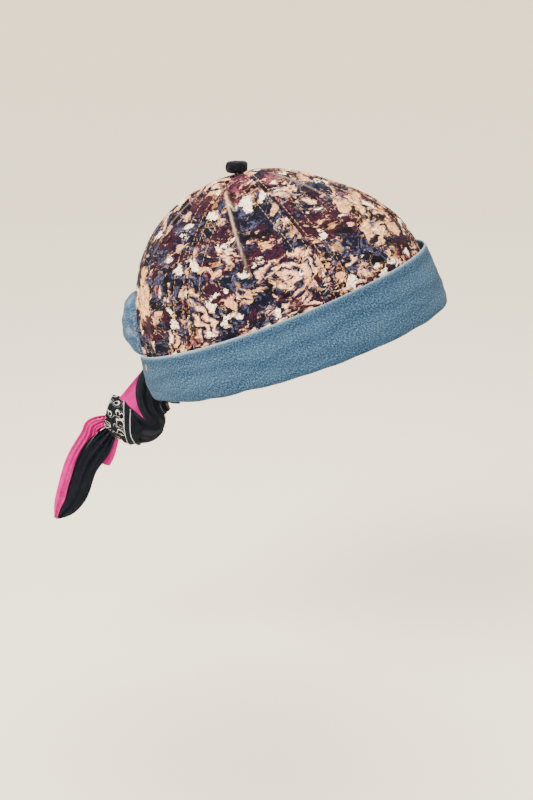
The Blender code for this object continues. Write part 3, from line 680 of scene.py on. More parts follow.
def stitch(name, routes, material, sizes=None):
    """Stitches along several routes of points, as one plain mesh."""
    curve = bpy.data.curves.new(name + "_route", "CURVE")
    curve.dimensions = "3D"
    for route in routes:
        line = curve.splines.new("POLY")
        line.points.add(len(route) - 1)
        line.points.foreach_set("co", np.column_stack([route, np.ones(len(route))]).ravel())
    guide = bpy.data.objects.new(name + "_route", curve)
    bpy.context.collection.objects.link(guide)
    maker = guide.modifiers.new("stitches", "NODES")
    maker.node_group = STITCHES
    named = {item.name: item.identifier for item in STITCHES.interface.items_tree if item.in_out == "INPUT"}
    maker[named["Material"]] = material
    for key, value in (sizes or {}).items():
        maker[named[key]] = value
    ready = guide.evaluated_get(bpy.context.evaluated_depsgraph_get())
    mesh = bpy.data.meshes.new_from_object(ready)
    bpy.data.objects.remove(guide)
    made = bpy.data.objects.new(name, mesh)
    bpy.context.collection.objects.link(made)
    mesh.shade_smooth()
    return made


def crown_route(azimuth, angle, lift=0.00012):
    """A route on the crown's cloth, a little proud of it."""
    azimuth, angle = np.broadcast_arrays(azimuth, angle)
    return worn(crown_skin(azimuth, angle, crown_relief(azimuth, angle) + lift))


def seam_routes():
    """Both pairs of rows beside each seam."""
    routes = []
    for seam in SEAMS[:-1]:
        for side in (-1, 1):
            for row in STITCH_ROWS:
                bottom = crown_angle(180.0, ARCH_TOP + 0.003) if seam == -180.0 else 6.0
                top = 83.0 if row < 0.005 else 72.0
                angle = np.linspace(bottom, top, 240)
                offset = side * row / arc_per_degree(seam, angle)
                routes.append(crown_route(seam + offset, angle))
    return routes


topstitch = stitch("topstitching", seam_routes(), tan_thread)
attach(topstitch, "root")

# Denim cuff
# A band of light speckled twill folded double and turned up all round, with a rounded fold at its
# foot, a worn pale edge above, and two ends with round lower corners that leave the back open.

CUFF_FRONT = 0.0403
CUFF_BACK = 0.0297
CUFF_RADIUS = 0.098
DENIM_DARK = (0.010, 0.031, 0.070)
DENIM_MID = (0.026, 0.069, 0.136)
DENIM_PALE = (0.108, 0.192, 0.300)
DENIM_WORN = (0.420, 0.560, 0.640)


def denim(name, bleach):
    """Light twill: pale warp threads over a blue weft, blotched and worn at its edges."""
    made, tree, shader, cloth = new_material(name, 0.90, 0.03, (0.8, 0.9, 1.0))
    threads = fill_group(tree, WEAVE, {"Vector": cloth, "Threads": 1150.0, "Slant": 0.62})
    fleck = step_up(tree, threads["Fleck"], 0.30, 0.70)
    colour = ramp(tree, fleck, [(0.0, DENIM_DARK), (1.0, DENIM_PALE), (0.5, DENIM_MID)])
    cloud = step_up(tree, noise(tree, cloth, 30.0, 4.0), 0.35, 0.70)
    colour = blend(tree, calc(tree, "MULTIPLY", cloud, 0.34), colour, bleach)
    grain = step_up(tree, noise(tree, cloth, 1150.0, 3.0), 0.34, 0.66)
    colour = tinted(tree, 0.90, colour, grain, (0.50, 0.55, 0.60), (1.60, 1.50, 1.42))
    shade = marked(tree, "shade")
    colour = blend(tree, shade, colour, (0.42, 0.50, 0.58), "MULTIPLY")
    wear = marked(tree, "wear")
    pale_threads = calc(tree, "MULTIPLY_ADD", threads["Fleck"], 0.9, 0.3)
    rubbed = calc(tree, "MULTIPLY", wear, pale_threads, clamp=True)
    colour = blend(tree, rubbed, colour, DENIM_WORN)
    tree.links.new(colour, shader.inputs["Base Color"])
    bump(tree, shader, threads["Height"], 0.00030)
    return made


denim_cloth = denim("light_denim", (0.056, 0.124, 0.215))
denim_insert = denim("light_denim_insert", (0.090, 0.190, 0.320))


def upright(points):
    """Points of the worn hat where they lie in the upright hat."""
    tilt = np.array(Matrix.Rotation(WORN_TILT, 3, "Y"))
    return np.asarray(points) @ tilt.T


def softened(name, node, levels, finish):
    """A smooth copy of a solid: its loose triangles merged, joined into quads and subdivided."""
    shape = bmesh.new()
    shape.from_mesh(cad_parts[node].data)
    bmesh.ops.remove_doubles(shape, verts=shape.verts, dist=0.00001)
    bmesh.ops.join_triangles(
        shape, faces=shape.faces, angle_face_threshold=math.radians(50),
        angle_shape_threshold=math.radians(60))
    mesh = bpy.data.meshes.new(name)
    shape.to_mesh(mesh)
    shape.free()
    rough = bpy.data.objects.new(name, mesh)
    bpy.context.collection.objects.link(rough)
    smooth = rough.modifiers.new("smooth", "SUBSURF")
    smooth.levels = levels
    smooth.render_levels = levels
    ready = rough.evaluated_get(bpy.context.evaluated_depsgraph_get())
    made = bpy.data.objects.new(name, bpy.data.meshes.new_from_object(ready))
    bpy.data.objects.remove(rough)
    bpy.context.collection.objects.link(made)
    made.name = name
    made.data.materials.clear()
    made.data.materials.append(finish)
    made.data.shade_smooth()
    while made.data.uv_layers:
        made.data.uv_layers.remove(made.data.uv_layers[0])
    return made


def points_of(piece):
    """A piece's points and their normals."""
    count = len(piece.data.vertices)
    places = np.zeros(count * 3)
    normals = np.zeros(count * 3)
    piece.data.vertices.foreach_get("co", places)
    piece.data.vertex_normals.foreach_get("vector", normals)
    return places.reshape(-1, 3), normals.reshape(-1, 3)


def lift_points(piece, rise):
    """Moves each point of a piece out along its normal."""
    places, normals = points_of(piece)
    piece.data.vertices.foreach_set("co", (places + normals * rise[:, None]).ravel())
    piece.data.update()


cuff = softened("denim_cuff", "cuff", 2, denim_cloth)
cuff_points = upright(points_of(cuff)[0])
cuff_turn = np.arctan2(cuff_points[:, 1], cuff_points[:, 0])
cuff_top = (CUFF_FRONT + CUFF_BACK) / 2 + (CUFF_FRONT - CUFF_BACK) / 2 * np.cos(cuff_turn)
cuff_share = cuff_points[:, 2] / cuff_top
set_cloth(cuff.data, np.column_stack([cuff_turn * CUFF_RADIUS, cuff_points[:, 2]]))
cuff_rim = cuff_share.max()
cuff_wave = 0.07 * np.sin(cuff_turn * 5.0) + 0.03 * np.sin(cuff_turn * 13.0 + 1.0)
cuff_crease = ridge(cuff_share - 0.54 - cuff_wave, 0.07) + 0.7 * ridge(cuff_share - 0.25 + cuff_wave, 0.08)
swell = 0.0006 * ripples(cuff_points * (1.0, 1.0, 0.5), 0.034, 11)
swell += 0.00025 * ripples(cuff_points * (1.0, 1.0, 2.2), 0.016, 12)
swell += 0.0007 * hump(cuff_share - 0.34, 0.34) - 0.0005 * hump(cuff_share - 0.84, 0.12)
swell -= 0.0004 * cuff_crease
lift_points(cuff, swell * np.clip(1.15 - cuff_share, 0, 1))
cuff_shade = 0.65 * hump(cuff_share - cuff_rim + 0.14, 0.12) + 0.75 * ridge(cuff_share, 0.12)
set_mark(cuff, "shade", np.clip(cuff_shade + 0.60 * cuff_crease, 0, 1))
set_mark(cuff, "wear", 0.9 * ridge(cuff_share - cuff_rim, 0.030))
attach(cuff, "root")
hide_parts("cuff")

# A bar tack holds the fold near the cuff's right end: its azimuth and its two heights.
BAR_TACK_AZIMUTH = -152.0
BAR_TACK_LOW = 0.0218
BAR_TACK_HIGH = 0.0244
OUTSIDE = 0.040


def laid_on(piece, azimuth, angle, lift=0.00012):
    """A route on the outer face of a piece that covers the crown, at given turns and angles."""
    azimuth, angle = np.broadcast_arrays(azimuth, angle)
    faces = [tuple(face.vertices) for face in piece.data.polygons]
    skin = BVHTree.FromPolygons(points_of(piece)[0].tolist(), faces)
    inside = worn(crown_skin(azimuth, angle, 0.0))
    outside = worn(crown_skin(azimuth, angle, OUTSIDE))
    hits = [skin.ray_cast(Vector(start), Vector(end - start)) for start, end in zip(outside, inside)]
    return np.array([place + normal * lift for place, normal, _, _ in hits if place])


tack_angle = crown_angle(BAR_TACK_AZIMUTH, np.linspace(BAR_TACK_LOW, BAR_TACK_HIGH, 30))
tack_routes = [laid_on(cuff, BAR_TACK_AZIMUTH + step, tack_angle) for step in (-0.25, 0.0, 0.25)]
bar_tack = stitch("bar_tack", tack_routes, tan_thread, {"Pitch": 0.0008, "Length": 0.0013})
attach(bar_tack, "root")

# Arched insert
# A denim patch gathered on a drawn-in hem swells out of the arch at the back of the crown. It is
# stitched in round the arch with one row of tan thread.

INSERT_AXIS = -0.055
INSERT_RADIUS = 0.036
STITCH_INSET = 0.0024

insert = softened("denim_insert", "back_insert", 2, denim_insert)
insert_points = upright(points_of(insert)[0])
insert_turn = np.arctan2(insert_points[:, 1], INSERT_AXIS - insert_points[:, 0])
set_cloth(insert.data, np.column_stack([insert_turn * INSERT_RADIUS, insert_points[:, 2] * 1.1]))
insert_low = np.clip((0.055 - insert_points[:, 2]) / 0.026, 0, 1)
insert_edge = np.clip(1 - np.abs(insert_points[:, 1]) / (ARCH_WIDTH / 2), 0, 1)
gathers = np.sin(insert_points[:, 1] / 0.0042 * 2 * math.pi + 2.0 * np.sin(insert_points[:, 1] * 210))
rumple = 0.0006 * ripples(insert_points, 0.013, 21) + 0.00035 * gathers * insert_low
lift_points(insert, rumple * np.clip(insert_edge * 4, 0, 1))
set_mark(insert, "wear", 0.30 * np.clip(ripples(insert_points, 0.010, 22), 0, 1))
set_mark(insert, "shade", 0.6 * np.clip(1 - insert_edge * 6, 0, 1))
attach(insert, "root")
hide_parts("back_insert")

arch_angle = np.linspace(crown_angle(180.0, CUFF_BACK + 0.004), crown_angle(180.0, ARCH_TOP - 0.004), 120)
arch_inside = arch_azimuth(arch_angle) + STITCH_INSET / arc_per_degree(180.0, arch_angle)
arch_routes = [laid_on(insert, side * np.minimum(arch_inside, 180.0), arch_angle) for side in (-1, 1)]
arch_stitch = stitch("arch_stitching", arch_routes, tan_thread)
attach(arch_stitch, "root")

# Button
# A domed metal blank covered in black cotton velvet, fixed where the gores meet.

VELVET = (0.0015, 0.0018, 0.0030)
VELVET_NAP = (0.0100, 0.0110, 0.0160)

velvet, velvet_tree, velvet_shader, _ = new_material("dark_velvet", 0.85, 0.12, (0.45, 0.50, 0.65))
velvet_place = add(velvet_tree, "ShaderNodeTexCoord").outputs["Object"]
nap = step_up(velvet_tree, noise(velvet_tree, velvet_place, 900.0, 4.0), 0.35, 0.80)
velvet_tree.links.new(blend(velvet_tree, nap, VELVET, VELVET_NAP), velvet_shader.inputs["Base Color"])
bump(velvet_tree, velvet_shader, noise(velvet_tree, velvet_place, 2400.0, 3.0), 0.0004)
velvet_node = upright(points_of(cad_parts["button"])[0])
velvet_radius = np.hypot(velvet_node[:, 0] - APEX_FORWARD, velvet_node[:, 1]).max()
velvet_high = velvet_node[:, 2].max()
BUTTON_HIGH = 0.0072
BUTTON_SUNK = 0.0015
BUTTON_TILT = math.radians(2.0)
BUTTON_PROFILE = (
    (0.00, 0.00), (0.55, 0.00), (0.80, 0.05), (0.93, 0.18), (0.99, 0.36), (1.00, 0.56), (0.97, 0.76),
    (0.90, 0.90), (0.78, 0.97), (0.50, 1.00), (0.00, 1.00))
button_turn = np.linspace(-math.pi, math.pi, 97)[:-1]
button_rise = np.linspace(0.0, len(BUTTON_PROFILE) - 1.0, 61)[1:-1]
button_out = np.interp(button_rise, range(len(BUTTON_PROFILE)), [out for out, up in BUTTON_PROFILE])
button_up = np.interp(button_rise, range(len(BUTTON_PROFILE)), [up for out, up in BUTTON_PROFILE])
button_rings = np.stack([
    velvet_radius * np.outer(button_out, np.cos(button_turn)),
    velvet_radius * np.outer(button_out, np.sin(button_turn)),
    np.repeat((BUTTON_HIGH * (button_up - 1))[:, None], len(button_turn), 1)], -1)
button_lean = np.array(Matrix.Rotation(-BUTTON_TILT, 3, "Y"))
button_top = worn((APEX_FORWARD, 0.0, velvet_high - BUTTON_SUNK))
button_shape = bmesh.new()
button_places = button_rings @ button_lean.T + button_top
button_rows = [[button_shape.verts.new(point) for point in ring] for ring in button_places]
for low_row, high_row in zip(button_rows, button_rows[1:]):
    for k in range(len(low_row)):
        button_shape.faces.new((low_row[k - 1], low_row[k], high_row[k], high_row[k - 1]))
button_shape.faces.new(button_rows[0][::-1])
button_shape.faces.new(button_rows[-1])
bmesh.ops.recalc_face_normals(button_shape, faces=button_shape.faces)
button_mesh = bpy.data.meshes.new("velvet_button")
button_shape.to_mesh(button_mesh)
button_shape.free()
button_mesh.materials.append(velvet)
button_mesh.shade_smooth()
button = bpy.data.objects.new("velvet_button", button_mesh)
bpy.context.collection.objects.link(button)
button_points = points_of(button)[0]
set_cloth(button.data, button_points[:, :2])
button_dents = 0.00025 * ripples(button_points, 0.0040, 31)
lift_points(button, button_dents + 0.00012 * ripples(button_points, 0.0012, 32))
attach(button, "root")
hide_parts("button")

# Bandana tie
# Two ends of thin printed cotton, black on one side and pink on the other, are sewn inside the
# cuff's ends, twisted together into one knot, and hang down as two long tails and a short corner.

BLACK_DYE = (0.0022, 0.0030, 0.0060)
BLACK_FADED = (0.0050, 0.0075, 0.0140)
PINK_DYE = (0.380, 0.0010, 0.120)
PINK_FADED = (0.640, 0.0030, 0.255)
# Painted highlight colours for the crests of the bandana's folds.
BLACK_HIGHLIGHT = (0.0180, 0.0230, 0.0340)
PINK_HIGHLIGHT = (0.600, 0.0080, 0.260)
PRINT_WHITE = (0.66, 0.65, 0.65)
BORDER_GAP = 0.0042
BORDER_LINE = 0.00021
BORDER_SLANT = 0.31


def paisley_group():
    """White line drawing of curled drops and rings with a few dots, and plain cloth between them."""
    inputs = (("Vector", "Vector", None), ("Scale", "Float", 145.0))
    tree, given, result = new_group("paisley", inputs, (("Line", "Float"),))
    place = jitter(tree, given["Vector"], 150.0, 0.0040)
    settings = {"Vector": place, "Scale": given["Scale"], "Randomness": 0.85}
    cells = add(tree, "ShaderNodeTexVoronoi", settings, voronoi_dimensions="2D").outputs
    local = vector_calc(tree, "SUBTRACT", place, cells["Position"])
    parts = add(tree, "ShaderNodeSeparateXYZ", {0: local}).outputs
    pick = add(tree, "ShaderNodeSeparateColor", {0: cells["Color"]}).outputs
    angle = calc(tree, "ARCTAN2", parts[1], parts[0])
    curl = calc(tree, "MULTIPLY_ADD", cells["Distance"], 4.4, calc(tree, "MULTIPLY", pick[0], FULL_TURN))
    lean = calc(tree, "COSINE", calc(tree, "ADD", angle, curl))
    drop = calc(tree, "DIVIDE", cells["Distance"], calc(tree, "MULTIPLY_ADD", lean, 0.46, 0.80))
    wrapped = calc(tree, "FRACT", calc(tree, "MULTIPLY", drop, 1.7))
    rings = calc(tree, "ABSOLUTE", calc(tree, "SUBTRACT", wrapped, 0.5))
    lines = step_up(tree, rings, 0.095, 0.040)
    gate = step_up(tree, drop, 0.92, 0.84)
    settings = {"Vector": place, "Scale": 360.0, "Randomness": 0.6}
    dots = add(tree, "ShaderNodeTexVoronoi", settings, voronoi_dimensions="2D").outputs["Distance"]
    few = step_up(tree, noise(tree, place, 170.0, 1.0), 0.60, 0.65)
    spots = calc(tree, "MULTIPLY", step_up(tree, dots, 0.20, 0.13), few)
    spots = calc(tree, "MULTIPLY", spots, calc(tree, "SUBTRACT", 1.0, gate))
    tree.links.new(calc(tree, "MAXIMUM", calc(tree, "MULTIPLY", lines, gate), spots), result["Line"])
    return tree


PAISLEY = paisley_group()


def bandana(name, dye, faded, crest_highlight):
    """Thin plain-woven cotton: a paisley field on one side of two border lines, plain on the other, with a
    painted highlight on the crests of its folds.
    """
    made, tree, shader, cloth = new_material(name, 0.82, 0.0, (1.0, 1.0, 1.0))
    threads = fill_group(tree, WEAVE, {"Vector": cloth, "Threads": 1500.0})
    cloud = calc(tree, "MULTIPLY", noise(tree, cloth, 110.0, 3.0), 0.5)
    tone = calc(tree, "MULTIPLY_ADD", threads["Fleck"], 0.5, cloud)
    colour = blend(tree, step_up(tree, tone, 0.30, 0.70), dye, faded)
    # Painted highlight on the crests of the folds.
    crest = marked(tree, "crest")
    colour = blend(tree, calc(tree, "MULTIPLY", crest, 0.55), colour, crest_highlight)
    across = add(tree, "ShaderNodeSeparateXYZ", {0: jitter(tree, cloth, 240.0, 0.0008)}).outputs[0]
    line = fill_group(tree, PAISLEY, {"Vector": cloth})["Line"]
    drawn = calc(tree, "MULTIPLY", line, step_up(tree, across, -BORDER_GAP, -BORDER_GAP - 0.0004))
    for border in (0.0, BORDER_GAP):
        away = calc(tree, "ABSOLUTE", calc(tree, "ADD", across, border))
        drawn = calc(tree, "MAXIMUM", drawn, step_up(tree, away, BORDER_LINE, BORDER_LINE * 0.5))
    shown = marked(tree, "print")
    worn_print = step_up(tree, noise(tree, cloth, 600.0, 3.0), 0.25, 0.50)
    inked = calc(tree, "MULTIPLY", calc(tree, "MULTIPLY", drawn, shown), worn_print)
    colour = blend(tree, inked, colour, PRINT_WHITE)
    tree.links.new(colour, shader.inputs["Base Color"])
    bump(tree, shader, threads["Height"], 0.00012)
    return made


black_bandana = bandana("black_bandana", BLACK_DYE, BLACK_FADED, BLACK_HIGHLIGHT)
pink_bandana = bandana("pink_bandana", PINK_DYE, PINK_FADED, PINK_HIGHLIGHT)

KNOT_CENTRE = np.array([-0.1100, 0.0, -0.0559])
KNOT_SIZE = np.array([0.0400, 0.0280, 0.0310])
KNOT_LEAN = np.array(Matrix.Rotation(math.radians(16.0), 3, "Y"))
KNOT_WRAP = 0.0026
BAND_WIDTH = 0.0300
BAND_PLY = 0.0016
BAND_PLEAT = 0.0014
BAND_SEWN = 0.0240
BAND_DEPTH = 0.00565
BAND_HEIGHT = 0.00885
BAND_BULGE = 0.0045
BAND_END = 159.58
TAIL_LENGTH = 0.0930
TAIL_WIDTH = 0.0180
TAIL_PLY = 0.0014
KNOT_ROUND = 0.0165
KNOT_RUN = 0.020


def knot_place(along, depth, up):
    """A place in the knot's own leaning axes, as shares of half its sizes."""
    offset = np.stack(np.broadcast_arrays(along, depth, up), -1) * KNOT_SIZE / 2
    return KNOT_CENTRE + offset @ KNOT_LEAN.T


def finish_cloth(piece, node, printed):
    """Stores how much print shows, and lets the piece ride in place of its solid."""
    set_mark(piece, "print", printed)
    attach(piece, "root")
    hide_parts(node)


def strip(name, centres, crosses, widths, ply, folds, border, finish):
    """A strip of cloth along its middle line; folds(place, share) lifts it off its flat section."""
    place = np.linspace(-1, 1, 65)
    ahead = np.gradient(centres, axis=0)
    ahead /= np.linalg.norm(ahead, axis=1, keepdims=True)
    cross = crosses - ahead * (crosses * ahead).sum(1, keepdims=True)
    cross /= np.linalg.norm(cross, axis=1, keepdims=True)
    normal = np.cross(ahead, cross)
    run = np.concatenate([[0], np.linalg.norm(np.diff(centres, axis=0), axis=1).cumsum()])
    share = (run / run[-1])[:, None]
    offset = place * widths[:, None] / 2
    rise = folds(place[None, :], share)
    half = ply / 2 * np.sqrt(np.maximum(1 - place ** 8, 0.12))
    middle = centres[:, None] + cross[:, None] * offset[..., None]
    sides = [middle + normal[:, None] * (rise + way * half)[..., None] for way in (1, -1)]
    cloth = np.stack([offset + border, np.broadcast_to(run[:, None], offset.shape)], -1)
    made = wall(name, *sides, cloth, (finish,))
    # The crest mark paints a highlight on the tops of the folds.
    crest = np.clip(np.broadcast_to(rise, offset.shape) / np.abs(rise).max() * 1.5 - 0.5, 0, 1)
    set_mark(made, "crest", np.tile(crest.ravel(), 2))
    return made, np.tile(share, (1, 65))


def band(name, side, mouth, mouth_cross, approach, bulge, end_width, folds, border, finish):
    """An end of the bandana from inside the cuff to the knot; side is -1 on the hat's right."""
    entry = knot_place(*mouth)
    sewn = BAND_SEWN / arc_per_degree(BAND_END, 0.0)
    azimuth = np.linspace(BAND_END - sewn, BAND_END, 15)
    inside = worn(crown_skin(side * azimuth, crown_angle(azimuth, BAND_HEIGHT), np.full(15, -BAND_DEPTH)))
    heading = inside[-1] - inside[-2]
    heading /= np.linalg.norm(heading)
    reach = np.linalg.norm(entry - inside[-1]) * 0.35
    leave = inside[-1] + heading * reach - (bulge, 0, 0)
    arrive = entry + np.array(approach) * reach - (bulge, 0, 0)
    share = np.linspace(0, 1, 71)[1:, None]
    curve = inside[-1] * (1 - share) ** 3 + leave * 3 * (1 - share) ** 2 * share
    curve += arrive * 3 * (1 - share) * share ** 2 + entry * share ** 3
    foot = crown_angle(side * BAND_END, BAND_HEIGHT)
    upward = worn(crown_face(side * BAND_END, foot + 2) - crown_face(side * BAND_END, foot - 2))
    upward /= np.linalg.norm(upward)
    turned = upward + (np.array(mouth_cross) - upward) * share ** 1.3
    crosses = np.concatenate([np.tile(upward, (15, 1)), turned])
    outside = BAND_WIDTH + (end_width - BAND_WIDTH) * share[:, 0]
    widths = np.concatenate([BAND_WIDTH * np.linspace(0.86, 1.0, 15), outside])
    return strip(name, np.concatenate([inside, curve]), crosses, widths, BAND_PLY, folds, border, finish)


def gathers_of(count, depth, phase, twist):
    """Folds along a strip: count of them, that draw together and deepen towards its far end."""
    def folds(place, share):
        waves = np.cos(count * math.pi * (place + twist * share * (1 - place ** 2)) + phase)
        second = np.cos(count * 1.9 * math.pi * place + 3.0 * share + phase)
        buried = np.clip((1 - share) * 8, 0.25, 1)
        return depth * buried * (waves * (0.75 + 0.25 * share) + 0.35 * second * share)
    return folds


piece, share = band(
    "band_black", -1, (0.88, -0.84, 0.72), (-0.85, -0.35, -0.38), (-0.30, -0.45, 0.85), BAND_BULGE,
    BAND_WIDTH * 0.58, gathers_of(4, BAND_PLEAT, 0.4, 0.25), 0.004, black_bandana)
black_print = np.clip(share * 5 - 4.0, 0, 0.12)
finish_cloth(piece, "tie_band_right", np.tile(black_print.ravel(), 2))
piece, share = band(
    "band_pink", 1, (-0.05, -0.84, 0.62), (-0.65, 0.24, 0.72), (0.35, 0.60, 0.70), -BAND_BULGE,
    BAND_WIDTH * 0.90, gathers_of(2, BAND_PLEAT * 0.7, 1.2, 0.15), 0.0, pink_bandana)
pink_edge = np.tile(np.linspace(0, 1, 65), (len(share), 1))
edge_print = np.clip(pink_edge * 12 - 11.0, 0, 1)
finish_cloth(piece, "tie_band_left", np.tile(edge_print.ravel(), 2))

Step = namedtuple("Step", "down back width turn")
BLACK_TAIL = (
    Step(-0.050, -0.040, 0.46, 2.0),
    Step(0.000, 0.000, 0.62, 4.0),
    Step(0.090, 0.070, 0.94, 8.0),
    Step(0.259, 0.180, 0.90, 12.0),
    Step(0.383, 0.226, 0.86, 14.0),
    Step(0.482, 0.261, 0.84, 14.0),
    Step(0.575, 0.307, 0.68, 12.0),
    Step(0.650, 0.372, 0.44, 8.0),
    Step(0.695, 0.421, 0.12, 4.0),
)
PINK_TAIL = (
    Step(-0.030, -0.110, 0.34, -8.0),
    Step(0.000, 0.000, 0.50, -8.0),
    Step(0.085, 0.082, 0.78, -10.0),
    Step(0.218, 0.151, 0.86, -12.0),
    Step(0.320, 0.210, 0.86, -12.0),
    Step(0.486, 0.275, 0.82, -10.0),
    Step(0.610, 0.319, 0.72, -6.0),
    Step(0.718, 0.359, 0.54, -4.0),
    Step(0.795, 0.394, 0.18, -2.0),
)
SHORT_TAIL = (
    Step(0.000, 0.000, 0.58, 6.0),
    Step(0.100, 0.040, 0.74, 8.0),
    Step(0.200, 0.080, 0.80, 8.0),
    Step(0.270, 0.100, 0.66, 6.0),
)


def tail(name, steps, mouth, drift, folds, border, finish):
    """A free end that hangs from its mouth in the knot; drift is how far it goes sideways."""
    downs = [step.down for step in steps]
    share = np.linspace(0, 1, 111)
    down = downs[0] + (downs[-1] - downs[0]) * share
    back, width, turn = (
        natural_curve(downs, [getattr(step, key) for step in steps], down)
        for key in ("back", "width", "turn"))
    centres = knot_place(*mouth) + np.stack([-back, drift * share, -down], -1) * TAIL_LENGTH
    turn = np.radians(turn)
    crosses = np.stack([np.cos(turn), np.sin(turn), np.full(len(turn), -0.45)], -1)
    widths = np.maximum(width, 0.1) * TAIL_WIDTH
    return strip(name, centres, crosses, widths, TAIL_PLY, folds, border, finish)


def tail_folds(count, depth, phase):
    """Folds that fan out of the knot and die away towards the tip."""
    def folds(place, share):
        fan = np.cos(count * math.pi * place + phase) * (1 - share) ** 1.6
        return depth * fan + 0.45 * depth * np.cos(2.3 * math.pi * place + phase + 2.2 * share)
    return folds


piece, share = tail(
    "tail_black", BLACK_TAIL, (-0.750, -0.43, -0.950), -0.016,
    tail_folds(4, 0.0013, 0.8), 0.0068, black_bandana)
finish_cloth(piece, "tie_tail_black", np.tile(np.clip(1.0 - share * 3.2, 0, 1).ravel(), 2))
piece, share = tail(
    "tail_pink", PINK_TAIL, (-1.143, 0.00, -0.660), -0.021,
    tail_folds(5, 0.0012, 2.0), -0.020, pink_bandana)
pink_print = 0.05 + 0.95 * np.clip(1.0 - share * 5.0, 0, 1)
finish_cloth(piece, "tie_tail_pink", np.tile(pink_print.ravel(), 2))
piece, share = tail(
    "tail_corner", SHORT_TAIL, (-0.740, 0.36, -1.075), 0.011, tail_folds(3, 0.0006, 0.0), 1.0, pink_bandana)
finish_cloth(piece, "tie_tail_short", np.tile(0 * share.ravel(), 2))

knot = softened("knot", "tie_knot", 2, black_bandana)
knot_local = (points_of(knot)[0] - KNOT_CENTRE) @ KNOT_LEAN / (KNOT_SIZE / 2)
knot_roll = np.arctan2(knot_local[:, 2], knot_local[:, 1])
knot_along = knot_local[:, 0]
set_cloth(knot.data, np.column_stack([knot_roll * 0.0145 + 1.0, knot_along * 0.020]))
knot_folds = np.cos(7 * knot_roll + 2.4 * knot_along) + 0.5 * np.cos(12 * knot_roll - 3.0 * knot_along)
lift_points(knot, 0.0010 * knot_folds * np.clip(1.2 - np.abs(knot_along), 0, 1))
# Painted highlight on the crests of the knot's folds.
set_mark(knot, "crest", np.clip(knot_folds, 0, 1))
finish_cloth(knot, "tie_knot", np.zeros(len(knot_roll)))

turns = np.linspace(0, 1, 151)[:, None]
spread = np.linspace(0, 1, 91)[None, :]
wrap_start = -262.0 + 78.0 * spread
wrap_roll = np.radians(wrap_start + (-12.0 - wrap_start) * turns)
wrap_along = np.broadcast_to(-0.93 + 1.28 * spread, wrap_roll.shape)
wrap_girth = (1 - wrap_along ** 2) ** 0.24 * (1 + 0.06 * wrap_along)
wrap_folds = np.cos(5.2 * math.pi * spread + 1.6 * turns)
wrap_folds = wrap_folds + 0.6 * np.cos(11 * math.pi * spread - 4.0 * turns)
wrap_lift = KNOT_WRAP * (0.55 + 0.45 * np.sin(math.pi * spread)) + 0.00045 * wrap_folds


def wrap_side(extra):
    """One face of the turn of cloth, so far off the knot."""
    depth = (wrap_girth + extra / (KNOT_SIZE[1] / 2)) * np.cos(wrap_roll)
    up = (wrap_girth + extra / (KNOT_SIZE[2] / 2)) * np.sin(wrap_roll)
    return knot_place(wrap_along * (1 + extra / KNOT_SIZE[0]), depth, up)


wrap_across = (wrap_along - 0.02) * KNOT_RUN - BORDER_SLANT * (wrap_roll + 3.0) * KNOT_ROUND
wrap_cloth = np.stack([wrap_across, wrap_roll * KNOT_ROUND], -1)
wrap_outer = wrap_side(2 * SEAM_GAP + wrap_lift)
wrap = wall("knot_wrap", wrap_outer, wrap_side(2 * SEAM_GAP), wrap_cloth, (black_bandana,))
finish_cloth(wrap, "tie_knot_wrap", np.ones(wrap_roll.size * 2))

# Camera, lights and floor
# The camera stands where the hat's own outline was fitted from: a little above the rim, and a
# little towards the front. Three soft boxes light a pale floor that curves up behind.

LENS_PIXELS = 1150.0
PHOTO_HEIGHT = 800
SENSOR = 36.0
CAMERA_PLACE = (0.0822, -0.7279, 0.2029)
CAMERA_AHEAD = (-0.132, 0.941, -0.312)
FLOOR_HEIGHT = -0.262

camera_data = bpy.data.cameras.new("camera")
camera_data.sensor_width = SENSOR
camera_data.lens = LENS_PIXELS / PHOTO_HEIGHT * SENSOR
camera = bpy.data.objects.new("camera", camera_data)
bpy.context.collection.objects.link(camera)
camera.location = CAMERA_PLACE
camera.rotation_euler = Vector(CAMERA_AHEAD).to_track_quat("-Z", "Y").to_euler()
bpy.context.scene.camera = camera


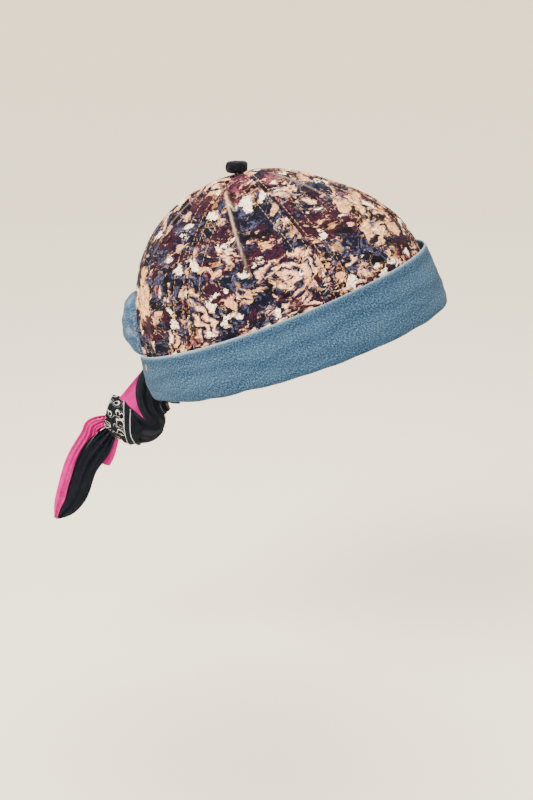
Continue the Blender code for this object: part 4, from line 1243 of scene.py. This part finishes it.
def stage_sheet():
    """A pale floor that curves up into a backdrop on every side."""
    profile = [
        (0.0, 0.0), (0.9, 0.0), (1.3, 0.02), (1.7, 0.10), (2.0, 0.30), (2.2, 0.7), (2.3, 1.4), (2.3, 3.0)]
    shape = bmesh.new()
    line = [shape.verts.new((out, 0.0, FLOOR_HEIGHT + up)) for out, up in profile]
    edges = [shape.edges.new(pair) for pair in zip(line, line[1:])]
    bmesh.ops.spin(
        shape, geom=line + edges, cent=(0, 0, 0), axis=(0, 0, 1), angle=2 * math.pi, steps=64,
        use_merge=True)
    bmesh.ops.remove_doubles(shape, verts=shape.verts, dist=0.0001)
    bmesh.ops.recalc_face_normals(shape, faces=shape.faces)
    bmesh.ops.reverse_faces(shape, faces=shape.faces)
    mesh = bpy.data.meshes.new("floor")
    shape.to_mesh(mesh)
    shape.free()
    mesh.shade_smooth()
    floor = bpy.data.objects.new("floor", mesh)
    bpy.context.collection.objects.link(floor)
    paint = bpy.data.materials.new("pale_floor")
    paint.use_nodes = True
    shader = paint.node_tree.nodes["Principled BSDF"]
    shader.inputs["Base Color"].default_value = (0.98, 0.91, 0.77, 1.0)
    shader.inputs["Roughness"].default_value = 0.9
    mesh.materials.append(paint)
    return floor


stage_sheet()


def soft_light(name, place, size, power, colour):
    """A square soft box that faces the hat."""
    data = bpy.data.lights.new(name, "AREA")
    data.size = size
    data.energy = power
    data.color = colour
    light = bpy.data.objects.new(name, data)
    bpy.context.collection.objects.link(light)
    light.location = place
    light.rotation_euler = (-Vector(place)).to_track_quat("-Z", "Y").to_euler()


soft_light("key", (-0.60, -0.95, 1.15), 0.7, 44.0, (1.0, 0.97, 0.93))
soft_light("fill", (1.1, -0.9, 0.5), 1.2, 8.0, (0.95, 0.97, 1.0))
soft_light("top", (0.0, 0.5, 1.4), 1.0, 30.0, (1.0, 0.98, 0.95))
world = bpy.data.worlds.new("room")
world.use_nodes = True
world.node_tree.nodes["Background"].inputs[0].default_value = (1.0, 0.97, 0.91, 1.0)
world.node_tree.nodes["Background"].inputs[1].default_value = 0.74
bpy.context.scene.world = world
